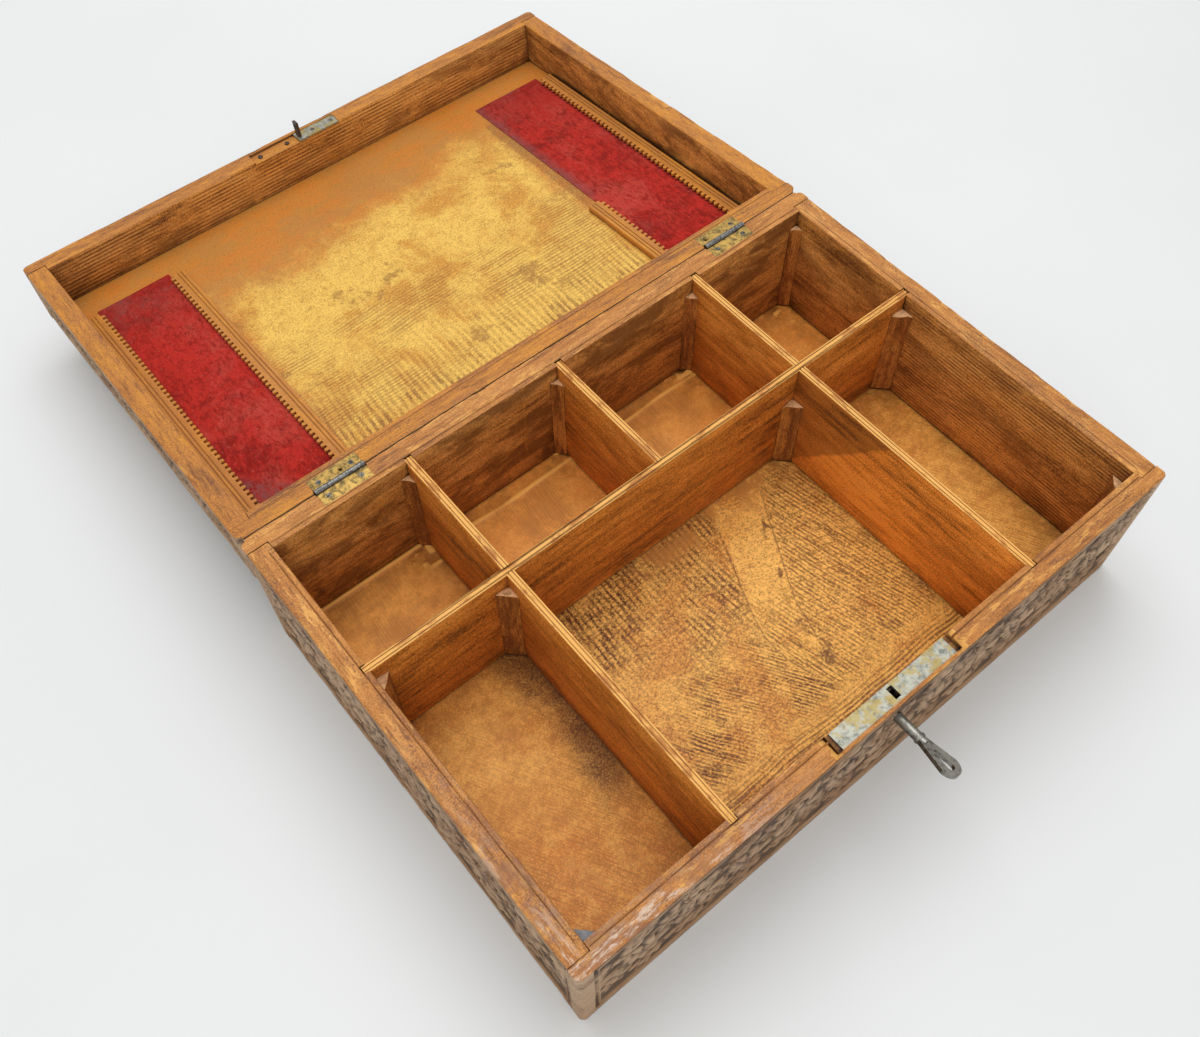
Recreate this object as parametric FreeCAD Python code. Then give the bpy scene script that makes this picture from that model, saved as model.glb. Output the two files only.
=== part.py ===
"""Carved wooden storage box with seven cells, shown with its lid folded right back.

Millimetres. X runs along the length and Y from front to back. Z is up, and the
origin is the middle of the underside. The lid is built closed and then turned
about the hinge pins to the place where its edge rests on the back of the base.
"""

import FreeCAD, Part
import math
import os

os.makedirs("parts", exist_ok=True)
Vector = FreeCAD.Vector

# Overall sizes
box_length = 380.0
box_depth = 262.0
base_height = 91.0
lid_height = 36.0

# Boards of the base and of the lid
end_board_thickness = 12.0
long_board_thickness = 11.5
corner_tongue = 7.0
corner_radius = 3.0
bottom_board_thickness = 14.0
bottom_rabbet_depth = 5.0
lid_panel_thickness = 8.0
lid_panel_rabbet_depth = 5.0
rim_gap = 0.3
lid_rest_gap = 0.36

# Dividers
back_row_depth = 80.0
end_cell_width = 78.25
divider_thickness = 4.5
divider_drop = 1.0
divider_seat = 2.5
dado_end_gap = 0.6
crossing_seat = 0.8
bead_groove_width = 0.5
bead_groove_depth = 0.5
bead_groove_inset = 1.2

# Corner glue blocks
glue_block_leg = 8.5
back_block_leg = 5.8
glue_block_drop = 11.0
short_block_drop = 25.0
tall_block_drop = 6.0

# Butt hinges
hinge_leaf_length = 29.0
hinge_leaf_width = 7.6
hinge_leaf_thickness = 1.0
hinge_end_distance = 44.5
first_knuckle_length = 7.2
third_knuckle_length = 9.3
knuckle_radius = 1.6
knuckle_clearance = 0.15
knuckle_gap = 0.2
hinge_pin_radius = 0.8
hinge_running_fit = 0.05
hinge_screw_inset = 4.8
hinge_screw_edge = 3.4
spare_hole_inset = 11.2

# Plain band along the back of both rims, proud of the back faces
back_band_height = 3.5
back_band_gap = 0.35
back_band_round = 1.2
back_band_hinge_gap = 0.4

# Wood screws
screw_head_radius = 1.5
screw_shank_radius = 0.8
screw_length = 8.0
screw_slot_width = 0.45
screw_slot_depth = 0.35
round_head_height = 0.9
round_head_rise = 0.15
round_head_fillet = 0.6

# Lock, let into the inner face of the front board
lock_centre_x = -1.5
key_drop = 17.6
selvedge_length = 74.0
selvedge_width = 9.6
selvedge_thickness = 1.5
selvedge_sink = 1.5
selvedge_end_gap = 3.0
flange_thickness = 1.2
lock_case_length = 50.0
lock_case_height = 26.0
lock_case_wall = 0.8
wood_before_case = 3.0
lock_screw_inset = 4.5
lock_screw_length = 6.0

# Lock bolt
bolt_throw = 6.0
bolt_thickness = 1.2
bolt_back_gap = 0.2
bolt_end_length = 12.0
bolt_shank_gap = 2.0
bolt_spring_room = 1.5
bolt_spring_thickness = 0.4
bolt_spring_span = 17.0
bolt_clearance = 0.5
guide_stud_radius = 1.0
guide_stud_fit = 0.2
finger_depth = 1.6
finger_height = 2.2
finger_tip_gap = 0.9
finger_lug_length = 3.0

# Key on its drill pin
drill_pin_radius = 1.2
drill_pin_length = 7.0
key_running_fit = 0.05
key_shank_radius = 2.6
key_hole_clearance = 0.25
key_shank_length = 17.0
key_tip_gap = 0.3
key_turned = 62.0
bit_reach = 7.6
bit_thickness = 2.0
bit_length = 5.3
bit_ward_depth = 1.2
bow_length = 22.6
bow_width = 12.6
bow_thickness = 2.2
bow_hole_length = 12.0
bow_hole_width = 4.6
bow_hole_edge = 3.2
bow_hole_neck_share = 0.2
key_collar_radius = 3.1
key_collar_length = 1.6

# Catch on the lid
catch_recess_left = 35.0
catch_recess_right = 27.0
catch_recess_depth = 1.6
wood_before_catch = 2.3
catch_plate_thickness = 1.2
catch_plate_overlap = 2.4
catch_screw_inner = 9.6
catch_screw_outer = 23.6
old_screw_inner = 9.6
old_screw_outer = 29.2
old_screw_head_height = 1.0
link_thickness = 1.8
link_side_gap = 0.35
link_eye_gap = 0.5
link_web = 1.2
link_bit_gap = 0.7
link_slot_gap = 0.8

# Toothed strips and velvet pads in the lid
strip_body_width = 7.6
strip_height = 3.6
strip_wall_gap = 2.0
strip_end_gap = 1.0
strip_far_margin = 26.5
left_strip_spacing = 49.4
right_strip_spacing = 53.0
broken_strip_length = 84.0
tooth_reach = 2.4
tooth_width = 2.2
tooth_pitch = 4.0
tooth_thickness = 1.6
strip_groove_width = 0.6
strip_groove_depth = 0.5
strip_groove_inset = 2.2
pad_thickness = 1.4
pad_far_margin = 20.5
pad_side_gap = 0.3

# Past the surface that a cutting tool has to clear
overrun = 1.0

# Places worked out from the sizes above
half_length = box_length / 2
half_depth = box_depth / 2
inner_x = half_length - end_board_thickness
inner_y = half_depth - long_board_thickness
floor_z = bottom_board_thickness
lid_rim_z = base_height + rim_gap
lid_top_z = lid_rim_z + lid_height
tray_z = lid_top_z - lid_panel_thickness
hinge_setback = knuckle_radius + knuckle_clearance
hinge_y = half_depth + hinge_setback
hinge_z = base_height + rim_gap / 2
droop = math.degrees(math.asin((2 * hinge_setback - lid_rest_gap) / lid_height))
open_angle = 180.0 + droop
back_band_y = hinge_y - back_band_gap

long_divider_back = inner_y - back_row_depth
long_divider_front = long_divider_back - divider_thickness
divider_top = base_height - divider_drop
side_divider_x = inner_x - end_cell_width - divider_thickness / 2

selvedge_top = base_height - selvedge_sink
selvedge_under = selvedge_top - selvedge_thickness
selvedge_front = -inner_y - selvedge_width
flange_front = -inner_y - flange_thickness
case_front = -half_depth + wood_before_case
case_inner_front = case_front + lock_case_wall
case_bottom = selvedge_under - lock_case_height
key_z = base_height - key_drop
bolt_back = flange_front - bolt_back_gap
bolt_front = bolt_back - bolt_thickness
bolt_bottom = key_z + key_shank_radius + bolt_shank_gap
bolt_top = selvedge_under - bolt_spring_room
unlocked_shift = bolt_throw * key_turned / 360.0
locked_shift = bolt_throw - unlocked_shift
middle_shift = bolt_throw / 2 - unlocked_shift

link_y = (case_inner_front + bolt_front) / 2
link_half_width = (bolt_front - case_inner_front) / 2 - link_side_gap
link_tip = key_z + bit_reach + link_bit_gap
finger_z = link_tip + link_web + link_eye_gap + finger_height / 2


def slab(x, y, z):
    """A box from three (low, high) pairs."""
    low = Vector(min(x), min(y), min(z))
    return Part.makeBox(abs(x[1] - x[0]), abs(y[1] - y[0]), abs(z[1] - z[0]), low)


def around(middle, half):
    return (middle - half, middle + half)


def rod(radius, start, end):
    """A round bar between two points."""
    run = end - start
    return Part.makeCylinder(radius, run.Length, start, run)


def prism(points, run):
    """A straight prism on a closed outline."""
    return Part.Face(Part.makePolygon(points + points[:1])).extrude(run)


def cut_all(shape, tools):
    for tool in tools:
        shape = shape.cut(tool)
    return shape


def opened(shape):
    """The same shape with the lid folded back."""
    turned = shape.copy()
    turned.rotate(Vector(0, hinge_y, hinge_z), Vector(1, 0, 0), -open_angle)
    return turned


def save(name, solids):
    whole = solids[0] if len(solids) == 1 else Part.makeCompound(solids)
    whole.exportStep("parts/" + name + ".step")


def long_board(side, z):
    """Front (side -1) or back (side 1) board: full length, rabbeted at both ends."""
    board = slab((-half_length, half_length), (side * inner_y, side * half_depth), z)
    for end in (-1, 1):
        reach = end * (half_length + overrun)
        rabbet_y = (side * (inner_y - overrun), side * (half_depth - corner_tongue))
        board = board.cut(slab((end * inner_x, reach), rabbet_y, z))
    radius = min(corner_radius, corner_tongue / 2, end_board_thickness / 2)
    corners = [edge for edge in board.Edges if upright_at(edge, half_length, half_depth)]
    return board.makeFillet(radius, corners)


def upright_at(edge, x, y):
    """True for an upright edge that stands so far out along X and Y, on either side."""
    middle = edge.CenterOfMass
    along = edge.tangentAt(edge.FirstParameter)
    upright = abs(along.z) > max(abs(along.x), abs(along.y))
    return upright and math.isclose(abs(middle.x), x) and math.isclose(abs(middle.y), y)


def end_board(side, z):
    """Left (side -1) or right (side 1) board, between the tongues of the long boards."""
    reach = half_depth - corner_tongue
    return slab((side * inner_x, side * half_length), (-reach, reach), z)


def four_boards(z):
    return {
        "front": long_board(-1, z),
        "back": long_board(1, z),
        "left": end_board(-1, z),
        "right": end_board(1, z),
    }


def screw_blank(place, into, length):
    """A countersunk screw with no slot, for cutting its own seat."""
    head_height = screw_head_radius - screw_shank_radius
    head = Part.makeCone(screw_head_radius, screw_shank_radius, head_height, place, into)
    return head.fuse(rod(screw_shank_radius, place, place + into * length)).removeSplitter()


def slot_cutter(place, into, along):
    """The driver's slot across a screw head whose top is at place."""
    across = into.cross(along)
    corner = place - along * screw_head_radius * 2 - across * screw_slot_width / 2
    sides = (along * screw_head_radius * 4, across * screw_slot_width)
    points = [corner, corner + sides[0], corner + sides[0] + sides[1], corner + sides[1]]
    tool = prism(points, into * (screw_slot_depth + overrun))
    tool.translate(into * -overrun)
    return tool


def screw(place, into, length, turn):
    """A countersunk screw whose slot is turned by so many degrees."""
    side = Vector(1, 0, 0)
    along = FreeCAD.Rotation(into, turn).multVec(side)
    return screw_blank(place, into, length).cut(slot_cutter(place, into, along))


def round_screw(seat, into, head_height, length, turn):
    """A round-head screw that stands on a surface at seat."""
    top = seat - into * head_height
    head = Part.makeCylinder(screw_head_radius, head_height, top, into)
    rings = [edge for edge in head.Edges if edge.Closed]
    rim = min(rings, key=lambda edge: edge.CenterOfMass.distanceToPoint(top))
    head = head.makeFillet(min(round_head_fillet, head_height / 2), [rim])
    whole = head.fuse(rod(screw_shank_radius, seat, seat + into * length))
    along = FreeCAD.Rotation(into, turn).multVec(Vector(1, 0, 0))
    return whole.cut(slot_cutter(top, into, along))


def bead_grooves(x, y, along_x):
    """Two fine grooves in the top edge of a divider."""
    z = (divider_top - bead_groove_depth, divider_top + overrun)
    grooves = []
    for side in (-1, 1):
        offset = side * (divider_thickness / 2 - bead_groove_inset)
        if along_x:
            middle = (y[0] + y[1]) / 2 + offset
            grooves.append(slab(x, around(middle, bead_groove_width / 2), z))
        else:
            middle = (x[0] + x[1]) / 2 + offset
            grooves.append(slab(around(middle, bead_groove_width / 2), y, z))
    return grooves


def dividers():
    """The long divider, its cross dividers and the housings they need in the walls."""
    z = (floor_z, divider_top)
    dado_z = (floor_z, base_height + overrun)
    seat = divider_seat + dado_end_gap
    half = divider_thickness / 2
    reach = inner_x + divider_seat
    long_y = (long_divider_front, long_divider_back)
    divider = slab((-reach, reach), long_y, z)
    divider = cut_all(divider, bead_grooves((-reach, reach), long_y, True))
    dados = [slab((-inner_x - seat, inner_x + seat), long_y, dado_z)]
    back_y = (long_divider_back - crossing_seat, inner_y + divider_seat)
    front_y = (-inner_y - divider_seat, long_divider_front + crossing_seat)
    places = {
        "back_divider_left": (-side_divider_x, back_y),
        "back_divider_middle": (0, back_y),
        "back_divider_right": (side_divider_x, back_y),
        "front_divider_left": (-side_divider_x, front_y),
        "front_divider_right": (side_divider_x, front_y),
    }
    made = {}
    for name, (x, y) in places.items():
        cross = slab(around(x, half), y, z)
        divider = divider.cut(cross)
        made[name] = cut_all(cross, bead_grooves(around(x, half), y, False))
        at_back = (long_divider_back, inner_y + seat)
        at_front = (-inner_y - seat, long_divider_front)
        dados.append(slab(around(x, half), at_back if y == back_y else at_front, dado_z))
    made["long_divider"] = divider
    return made, dados


def glue_block(x, y, toward_x, toward_y, drop):
    """A three-cornered block that stands on the bottom board in a corner of a cell."""
    top = base_height - drop
    leg = back_block_leg if y > long_divider_back else glue_block_leg
    points = [
        Vector(x, y, floor_z),
        Vector(x + toward_x * leg, y, floor_z),
        Vector(x, y + toward_y * leg, floor_z),
    ]
    return prism(points, Vector(0, 0, top - floor_z))


def glue_blocks():
    half = divider_thickness / 2
    front = long_divider_front
    places = {
        "glue_block_back_1": (-side_divider_x - half, inner_y, -1, -1, glue_block_drop),
        "glue_block_back_2": (-half, inner_y, -1, -1, glue_block_drop),
        "glue_block_back_3": (side_divider_x - half, inner_y, -1, -1, glue_block_drop),
        "glue_block_back_4": (inner_x, inner_y, -1, -1, glue_block_drop),
        "glue_block_front_1": (-inner_x, front, 1, -1, glue_block_drop),
        "glue_block_front_2": (-side_divider_x - half, front, -1, -1, glue_block_drop),
        "glue_block_front_3": (side_divider_x - half, front, -1, -1, short_block_drop),
        "glue_block_front_4": (inner_x, front, -1, -1, glue_block_drop),
        "glue_block_front_5": (inner_x, -inner_y, -1, 1, glue_block_drop),
        "glue_block_front_6": (-inner_x, -inner_y, 1, 1, tall_block_drop),
    }
    return {name: glue_block(*place) for name, place in places.items()}


def hinge_x(side):
    """The low and high end of the leaf on one side."""
    far = side * (half_length - hinge_end_distance)
    near = far - side * hinge_leaf_length
    return (min(far, near), max(far, near))


def knuckle_spans(x):
    """Along the hinge: the outer spans of the lid leaf, and the middle of the base leaf."""
    first = (x[0], x[0] + first_knuckle_length)
    third = (x[1] - third_knuckle_length, x[1])
    middle = (first[1] + knuckle_gap, third[0] - knuckle_gap)
    return [first, third], [middle]


def leaf(x, plate_z, spans, bore_radius):
    """One leaf: a plate on the rim and the knuckles rolled from it."""
    made = slab(x, (half_depth - hinge_leaf_width, half_depth), plate_z)
    for span in spans:
        ends = (Vector(span[0], hinge_y, hinge_z), Vector(span[1], hinge_y, hinge_z))
        made = made.fuse(slab(span, (half_depth, hinge_y), plate_z)).fuse(rod(knuckle_radius, *ends))
        made = made.cut(rod(bore_radius, *ends))
    return made.removeSplitter()


def hinge(side):
    """Both leaves and the pin of one hinge, with the lid closed."""
    x = hinge_x(side)
    lid_spans, base_spans = knuckle_spans(x)
    base_z = (base_height - hinge_leaf_thickness, base_height)
    lid_z = (lid_rim_z, lid_rim_z + hinge_leaf_thickness)
    base_leaf = leaf(x, base_z, base_spans, hinge_pin_radius)
    lid_leaf = leaf(x, lid_z, lid_spans, hinge_pin_radius + hinge_running_fit)
    pin = rod(hinge_pin_radius, Vector(x[0], hinge_y, hinge_z), Vector(x[1], hinge_y, hinge_z))
    return base_leaf, lid_leaf, pin


def back_band(z):
    """The plain band that closes the joint between the hinges, let in round their knuckles."""
    reach = half_length - corner_radius
    band = slab((-reach, reach), (half_depth, back_band_y), z)
    ends = [edge for edge in band.Edges if upright_at(edge, reach, back_band_y)]
    band = band.makeFillet(min(back_band_round, (back_band_y - half_depth) / 2), ends)
    for side in (-1, 1):
        x = hinge_x(side)
        room = (x[0] - back_band_hinge_gap, x[1] + back_band_hinge_gap)
        band = band.cut(slab(room, (half_depth, back_band_y + overrun), z))
    return band


def hinge_screw_places(side):
    """Along X, the outer and the inner screw of a leaf."""
    x = hinge_x(side)
    outer = x[0] if side < 0 else x[1]
    inner = x[1] if side < 0 else x[0]
    return outer - side * hinge_screw_inset, inner + side * hinge_screw_inset


def lock_plate():
    """The rim plate and the flange on the inner face, bent from one sheet."""
    x = around(lock_centre_x, selvedge_length / 2)
    rim_plate = slab(x, (selvedge_front, -inner_y), (selvedge_under, selvedge_top))
    flange = slab(x, (flange_front, -inner_y), (case_bottom, selvedge_under))
    plate = rim_plate.fuse(flange)
    slot_y = (link_y - link_half_width - link_eye_gap, flange_front - bolt_back_gap)
    slot_x = around(lock_centre_x, link_thickness / 2 + link_slot_gap)
    plate = plate.cut(slab(slot_x, slot_y, (selvedge_under - overrun, selvedge_top + overrun)))
    for place in guide_places():
        tip = Vector(place, bolt_front - bolt_clearance, guide_z())
        plate = plate.fuse(rod(guide_stud_radius, tip, Vector(place, flange_front, guide_z())))
    return plate.removeSplitter()


def lock_case():
    """The cap over the works, open towards the flange."""
    x = around(lock_centre_x, lock_case_length / 2)
    inside_x = (x[0] + lock_case_wall, x[1] - lock_case_wall)
    outside = slab(x, (case_front, flange_front), (case_bottom, selvedge_under))
    inside_z = (case_bottom + lock_case_wall, selvedge_under)
    return outside, slab(inside_x, (case_inner_front, flange_front), inside_z)


def key_hole():
    """The hole for the key's shank and, below it, for its bit."""
    radius = key_shank_radius + key_hole_clearance
    start = Vector(lock_centre_x, -half_depth - overrun, key_z)
    end = Vector(lock_centre_x, case_inner_front, key_z)
    half = bit_thickness / 2 + key_hole_clearance
    foot = key_z - bit_reach - key_hole_clearance
    slot = slab(around(lock_centre_x, half), (start.y, end.y), (foot, key_z))
    return rod(radius, start, end).fuse(slot)


def talon():
    """Half the width of the bolt's notch and its middle, so that the bit turns clear."""
    corner = math.hypot(bit_reach, bit_thickness / 2)
    rise = bolt_bottom - key_z
    swing = math.degrees(math.acos(rise / corner))
    half = math.sqrt(corner ** 2 - rise ** 2) + bolt_throw * swing / 360.0 + bolt_clearance
    return half, lock_centre_x + middle_shift


def bolt_ends():
    half, middle = talon()
    return (middle - half - bolt_end_length, middle + half + bolt_end_length)


def guide_places():
    """Where the two guide studs stand, for the middle of the bolt's travel."""
    ends = bolt_ends()
    return [end - middle_shift for end in (ends[0] + bolt_end_length / 2, ends[1] - bolt_end_length / 2)]


def guide_z():
    return (bolt_bottom + bolt_top) / 2


def lock_bolt():
    """The sliding bolt: a plate with a talon, two guide slots and a finger for the link."""
    bolt_y = (bolt_front, bolt_back)
    bolt = slab(bolt_ends(), bolt_y, (bolt_bottom, bolt_top))
    half, middle = talon()
    notch_top = key_z + bit_reach + bolt_clearance
    bolt = bolt.cut(slab(around(middle, half), bolt_y, (bolt_bottom - overrun, notch_top)))
    radius = guide_stud_radius + guide_stud_fit
    for place in guide_places():
        centre = place + middle_shift
        slot = slab(around(centre, bolt_throw / 2), bolt_y, around(guide_z(), radius))
        for end in around(centre, bolt_throw / 2):
            front = Vector(end, bolt_front, guide_z())
            slot = slot.fuse(rod(radius, front, front + Vector(0, bolt_thickness, 0)))
        bolt = bolt.cut(slot)
    face = lock_centre_x + link_thickness / 2
    tip = face + finger_tip_gap
    lug = face + locked_shift + bolt_clearance
    finger_y = around(link_y, finger_depth / 2)
    finger_rise = around(finger_z, finger_height / 2)
    finger = slab((tip, lug + finger_lug_length), finger_y, finger_rise)
    post = slab((lug, lug + finger_lug_length), (finger_y[0], bolt_front), finger_rise)
    return bolt.fuse(finger).fuse(post).removeSplitter()


def bolt_spring():
    """A bowed leaf under the rim plate that bears on the bolt's top edge."""
    middle = (bolt_ends()[0] + bolt_ends()[1]) / 2
    low = bolt_top + bolt_spring_thickness / 2
    high = selvedge_under
    ends = around(middle, bolt_spring_span / 2)
    lift = Vector(0, 0, -bolt_spring_thickness)
    bow = Vector(middle, bolt_front, low + bolt_spring_thickness)
    upper = [Vector(ends[0], bolt_front, high), bow, Vector(ends[1], bolt_front, high)]
    lower = [point + lift for point in upper]
    outline = Part.Wire([
        Part.Arc(*upper).toShape(),
        Part.LineSegment(upper[2], lower[2]).toShape(),
        Part.Arc(*reversed(lower)).toShape(),
        Part.LineSegment(lower[0], upper[0]).toShape(),
    ])
    return Part.Face(outline).extrude(Vector(0, bolt_thickness, 0))


def drill_pin():
    """The fixed pin that the hollow key turns on, riveted through the flange."""
    start = Vector(lock_centre_x, -inner_y, key_z)
    return rod(drill_pin_radius, start, start - Vector(0, flange_thickness + drill_pin_length, 0))


def bow_outline(length, width, start_y, neck):
    """A pear-shaped face in the YZ plane that widens away from start_y."""
    radius = width / 2
    far = start_y - length
    centre_y = far + radius
    points = [
        Vector(0, start_y, neck),
        Vector(0, centre_y, radius),
        Vector(0, far, 0),
        Vector(0, centre_y, -radius),
        Vector(0, start_y, -neck),
    ]
    edges = [
        Part.LineSegment(points[0], points[1]).toShape(),
        Part.Arc(points[1], points[2], points[3]).toShape(),
        Part.LineSegment(points[3], points[4]).toShape(),
        Part.LineSegment(points[4], points[0]).toShape(),
    ]
    return Part.Face(Part.Wire(edges))


def key():
    """The hollow key with its bit straight down, then turned as it stands."""
    tip = flange_front - key_tip_gap
    shank_end = -half_depth - key_shank_length
    shank = rod(key_shank_radius, Vector(0, tip, 0), Vector(0, shank_end, 0))
    bore_end = flange_front - drill_pin_length - bolt_clearance
    bore = rod(drill_pin_radius + key_running_fit, Vector(0, tip, 0), Vector(0, bore_end, 0))
    bit_start = case_inner_front + bolt_clearance
    bit_y = (bit_start, bit_start + bit_length)
    bit = slab(around(0, bit_thickness / 2), bit_y, (-bit_reach, 0))
    ward_y = around(bit_start + bit_length / 2, bit_ward_depth / 2)
    ward = slab(around(0, bit_thickness), ward_y, (-bit_reach, -bit_reach + bit_ward_depth))
    neck = key_shank_radius
    bow = bow_outline(bow_length, bow_width, shank_end + neck, neck)
    hole_start = shank_end + neck - bow_length + bow_hole_edge + bow_hole_length
    hole = bow_outline(bow_hole_length, bow_hole_width, hole_start, bow_hole_width * bow_hole_neck_share)
    blade = bow.cut(hole).extrude(Vector(bow_thickness, 0, 0))
    blade.translate(Vector(-bow_thickness / 2, 0, 0))
    collar_end = Vector(0, shank_end + neck, 0)
    collar = rod(key_collar_radius, collar_end, collar_end + Vector(0, key_collar_length, 0))
    whole = shank.fuse([collar, bit.cut(ward), blade]).cut(bore).removeSplitter()
    whole.translate(Vector(lock_centre_x, 0, key_z))
    whole.rotate(Vector(lock_centre_x, 0, key_z), Vector(0, -1, 0), key_turned)
    return whole


def lock_screw_places():
    x = around(lock_centre_x, selvedge_length / 2 - lock_screw_inset)
    z = (case_bottom + lock_screw_inset, selvedge_under - lock_screw_inset)
    return [Vector(i, -inner_y, k) for i in x for k in z]


def catch_link():
    """The upright link with an eye for the bolt's finger."""
    x = around(lock_centre_x, link_thickness / 2)
    body = slab(x, around(link_y, link_half_width), (link_tip, lid_rim_z + catch_recess_depth))
    eye_y = around(link_y, finger_depth / 2 + link_eye_gap)
    eye_z = around(finger_z, finger_height / 2 + link_eye_gap)
    return body.cut(slab(around(lock_centre_x, link_thickness), eye_y, eye_z))


def catch_recess():
    x = (lock_centre_x - catch_recess_left, lock_centre_x + catch_recess_right)
    y = (-half_depth + wood_before_catch, -inner_y + overrun)
    return slab(x, y, (lid_rim_z - overrun, lid_rim_z + catch_recess_depth))


def catch_plate():
    """What is left of the catch plate: its right half."""
    x = (lock_centre_x - catch_plate_overlap, lock_centre_x + catch_recess_right)
    floor = lid_rim_z + catch_recess_depth
    return slab(x, (-half_depth + wood_before_catch, -inner_y), (floor - catch_plate_thickness, floor))


def comb(length):
    """A toothed strip along Y from zero, its teeth pointing to +X, lying on z = 0."""
    body = slab((0, strip_body_width), (0, length), (0, strip_height))
    edges = []
    corner = Vector(strip_body_width, 0, 0)
    straight = tooth_reach - tooth_width / 2
    count = int((length - tooth_width) / tooth_pitch)
    start = (length - count * tooth_pitch + tooth_pitch - tooth_width) / 2
    for index in range(count):
        foot = Vector(strip_body_width, start + index * tooth_pitch, 0)
        out = foot + Vector(straight, 0, 0)
        nose = out + Vector(tooth_width / 2, tooth_width / 2, 0)
        back = out + Vector(0, tooth_width, 0)
        root = foot + Vector(0, tooth_width, 0)
        edges.append(Part.LineSegment(corner, foot).toShape())
        edges.append(Part.LineSegment(foot, out).toShape())
        edges.append(Part.Arc(out, nose, back).toShape())
        edges.append(Part.LineSegment(back, root).toShape())
        corner = root
    for x, y in ((strip_body_width, length), (0, length), (0, 0), (strip_body_width, 0)):
        point = Vector(x, y, 0)
        edges.append(Part.LineSegment(corner, point).toShape())
        corner = point
    teeth = Part.Face(Part.Wire(edges)).extrude(Vector(0, 0, tooth_thickness))
    teeth.translate(Vector(0, 0, strip_height - tooth_thickness))
    strip = body.fuse(teeth).removeSplitter()
    groove_z = (strip_height - strip_groove_depth, strip_height + overrun)
    for share in (1, 2):
        middle = strip_groove_inset * share
        strip = strip.cut(slab(around(middle, strip_groove_width / 2), (0, length), groove_z))
    return strip


def place_strip(outer_x, side, length, from_y):
    """A strip on the tray's floor, teeth towards side, its near end at from_y."""
    strip = comb(length)
    if side < 0:
        strip = strip.mirror(Vector(0, 0, 0), Vector(1, 0, 0))
    strip = strip.mirror(Vector(0, 0, 0), Vector(0, 0, 1)).mirror(Vector(0, 0, 0), Vector(0, 1, 0))
    strip.translate(Vector(outer_x, from_y, tray_z))
    return strip


def lid_strips():
    """Four toothed strips, one of them broken short, and the two pads between them."""
    near = inner_y - strip_end_gap
    length = near + inner_y - strip_far_margin
    outer = inner_x - strip_wall_gap
    left_inner = -outer + 2 * strip_body_width + left_strip_spacing
    right_inner = outer - 2 * strip_body_width - right_strip_spacing
    strips = {
        "strip_left_outer": place_strip(-outer, 1, length, near),
        "strip_left_inner": place_strip(left_inner, -1, length, near),
        "strip_right_inner": place_strip(right_inner, 1, broken_strip_length, near),
        "strip_right_outer": place_strip(outer, -1, length, near),
    }
    pad_y = (-inner_y + pad_far_margin, near)
    pad_z = (tray_z - pad_thickness, tray_z)
    pad_inset = strip_body_width + pad_side_gap
    pads = {
        "velvet_pad_left": slab((-outer + pad_inset, left_inner - pad_inset), pad_y, pad_z),
        "velvet_pad_right": slab((right_inner + pad_inset, outer - pad_inset), pad_y, pad_z),
    }
    return strips, pads


def build_base(hinges, lock_cutters):
    """Boards, bottom, dividers, blocks and what is fixed to them."""
    boards = four_boards((0, base_height))
    rabbet = bottom_rabbet_depth
    reach_x = inner_x + rabbet
    reach_y = inner_y + rabbet
    pocket = slab((-reach_x, reach_x), (-reach_y, reach_y), (-overrun, floor_z))
    made, dados = dividers()
    for name, board in boards.items():
        boards[name] = cut_all(board, [pocket] + dados)
    boards["front"] = cut_all(boards["front"], lock_cutters)
    band = back_band((base_height - back_band_height, base_height))
    boards["back"] = boards["back"].fuse(band).removeSplitter()
    down = Vector(0, 0, -1)
    leaf_y = (half_depth - hinge_leaf_width, half_depth + overrun)
    screws = []
    leaves = {}
    pins = {}
    for word, side in (("left", -1), ("right", 1)):
        base_leaf, _, pin = hinges[side]
        x = hinge_x(side)
        mortise_z = (base_height - hinge_leaf_thickness, base_height + overrun)
        boards["back"] = boards["back"].cut(slab(x, leaf_y, mortise_z))
        for turn, place in zip((25, 70), hinge_screw_places(side)):
            seat = Vector(place, half_depth - hinge_screw_edge, base_height)
            blank = screw_blank(seat, down, screw_length)
            base_leaf = base_leaf.cut(blank)
            boards["back"] = boards["back"].cut(blank)
            screws.append(screw(seat, down, screw_length, turn * side))
        leaves["hinge_" + word + "_base_leaf"] = base_leaf
        pins["hinge_" + word + "_pin"] = pin
    for name, board in boards.items():
        save("base_" + name + "_board", [board])
    bottom = slab((-reach_x, reach_x), (-reach_y, reach_y), (0, floor_z))
    save("base_bottom_board", [bottom])
    for pieces in (made, glue_blocks(), leaves, pins):
        for name, shape in pieces.items():
            save(name, [shape])
    save("hinge_base_screws", screws)


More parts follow.
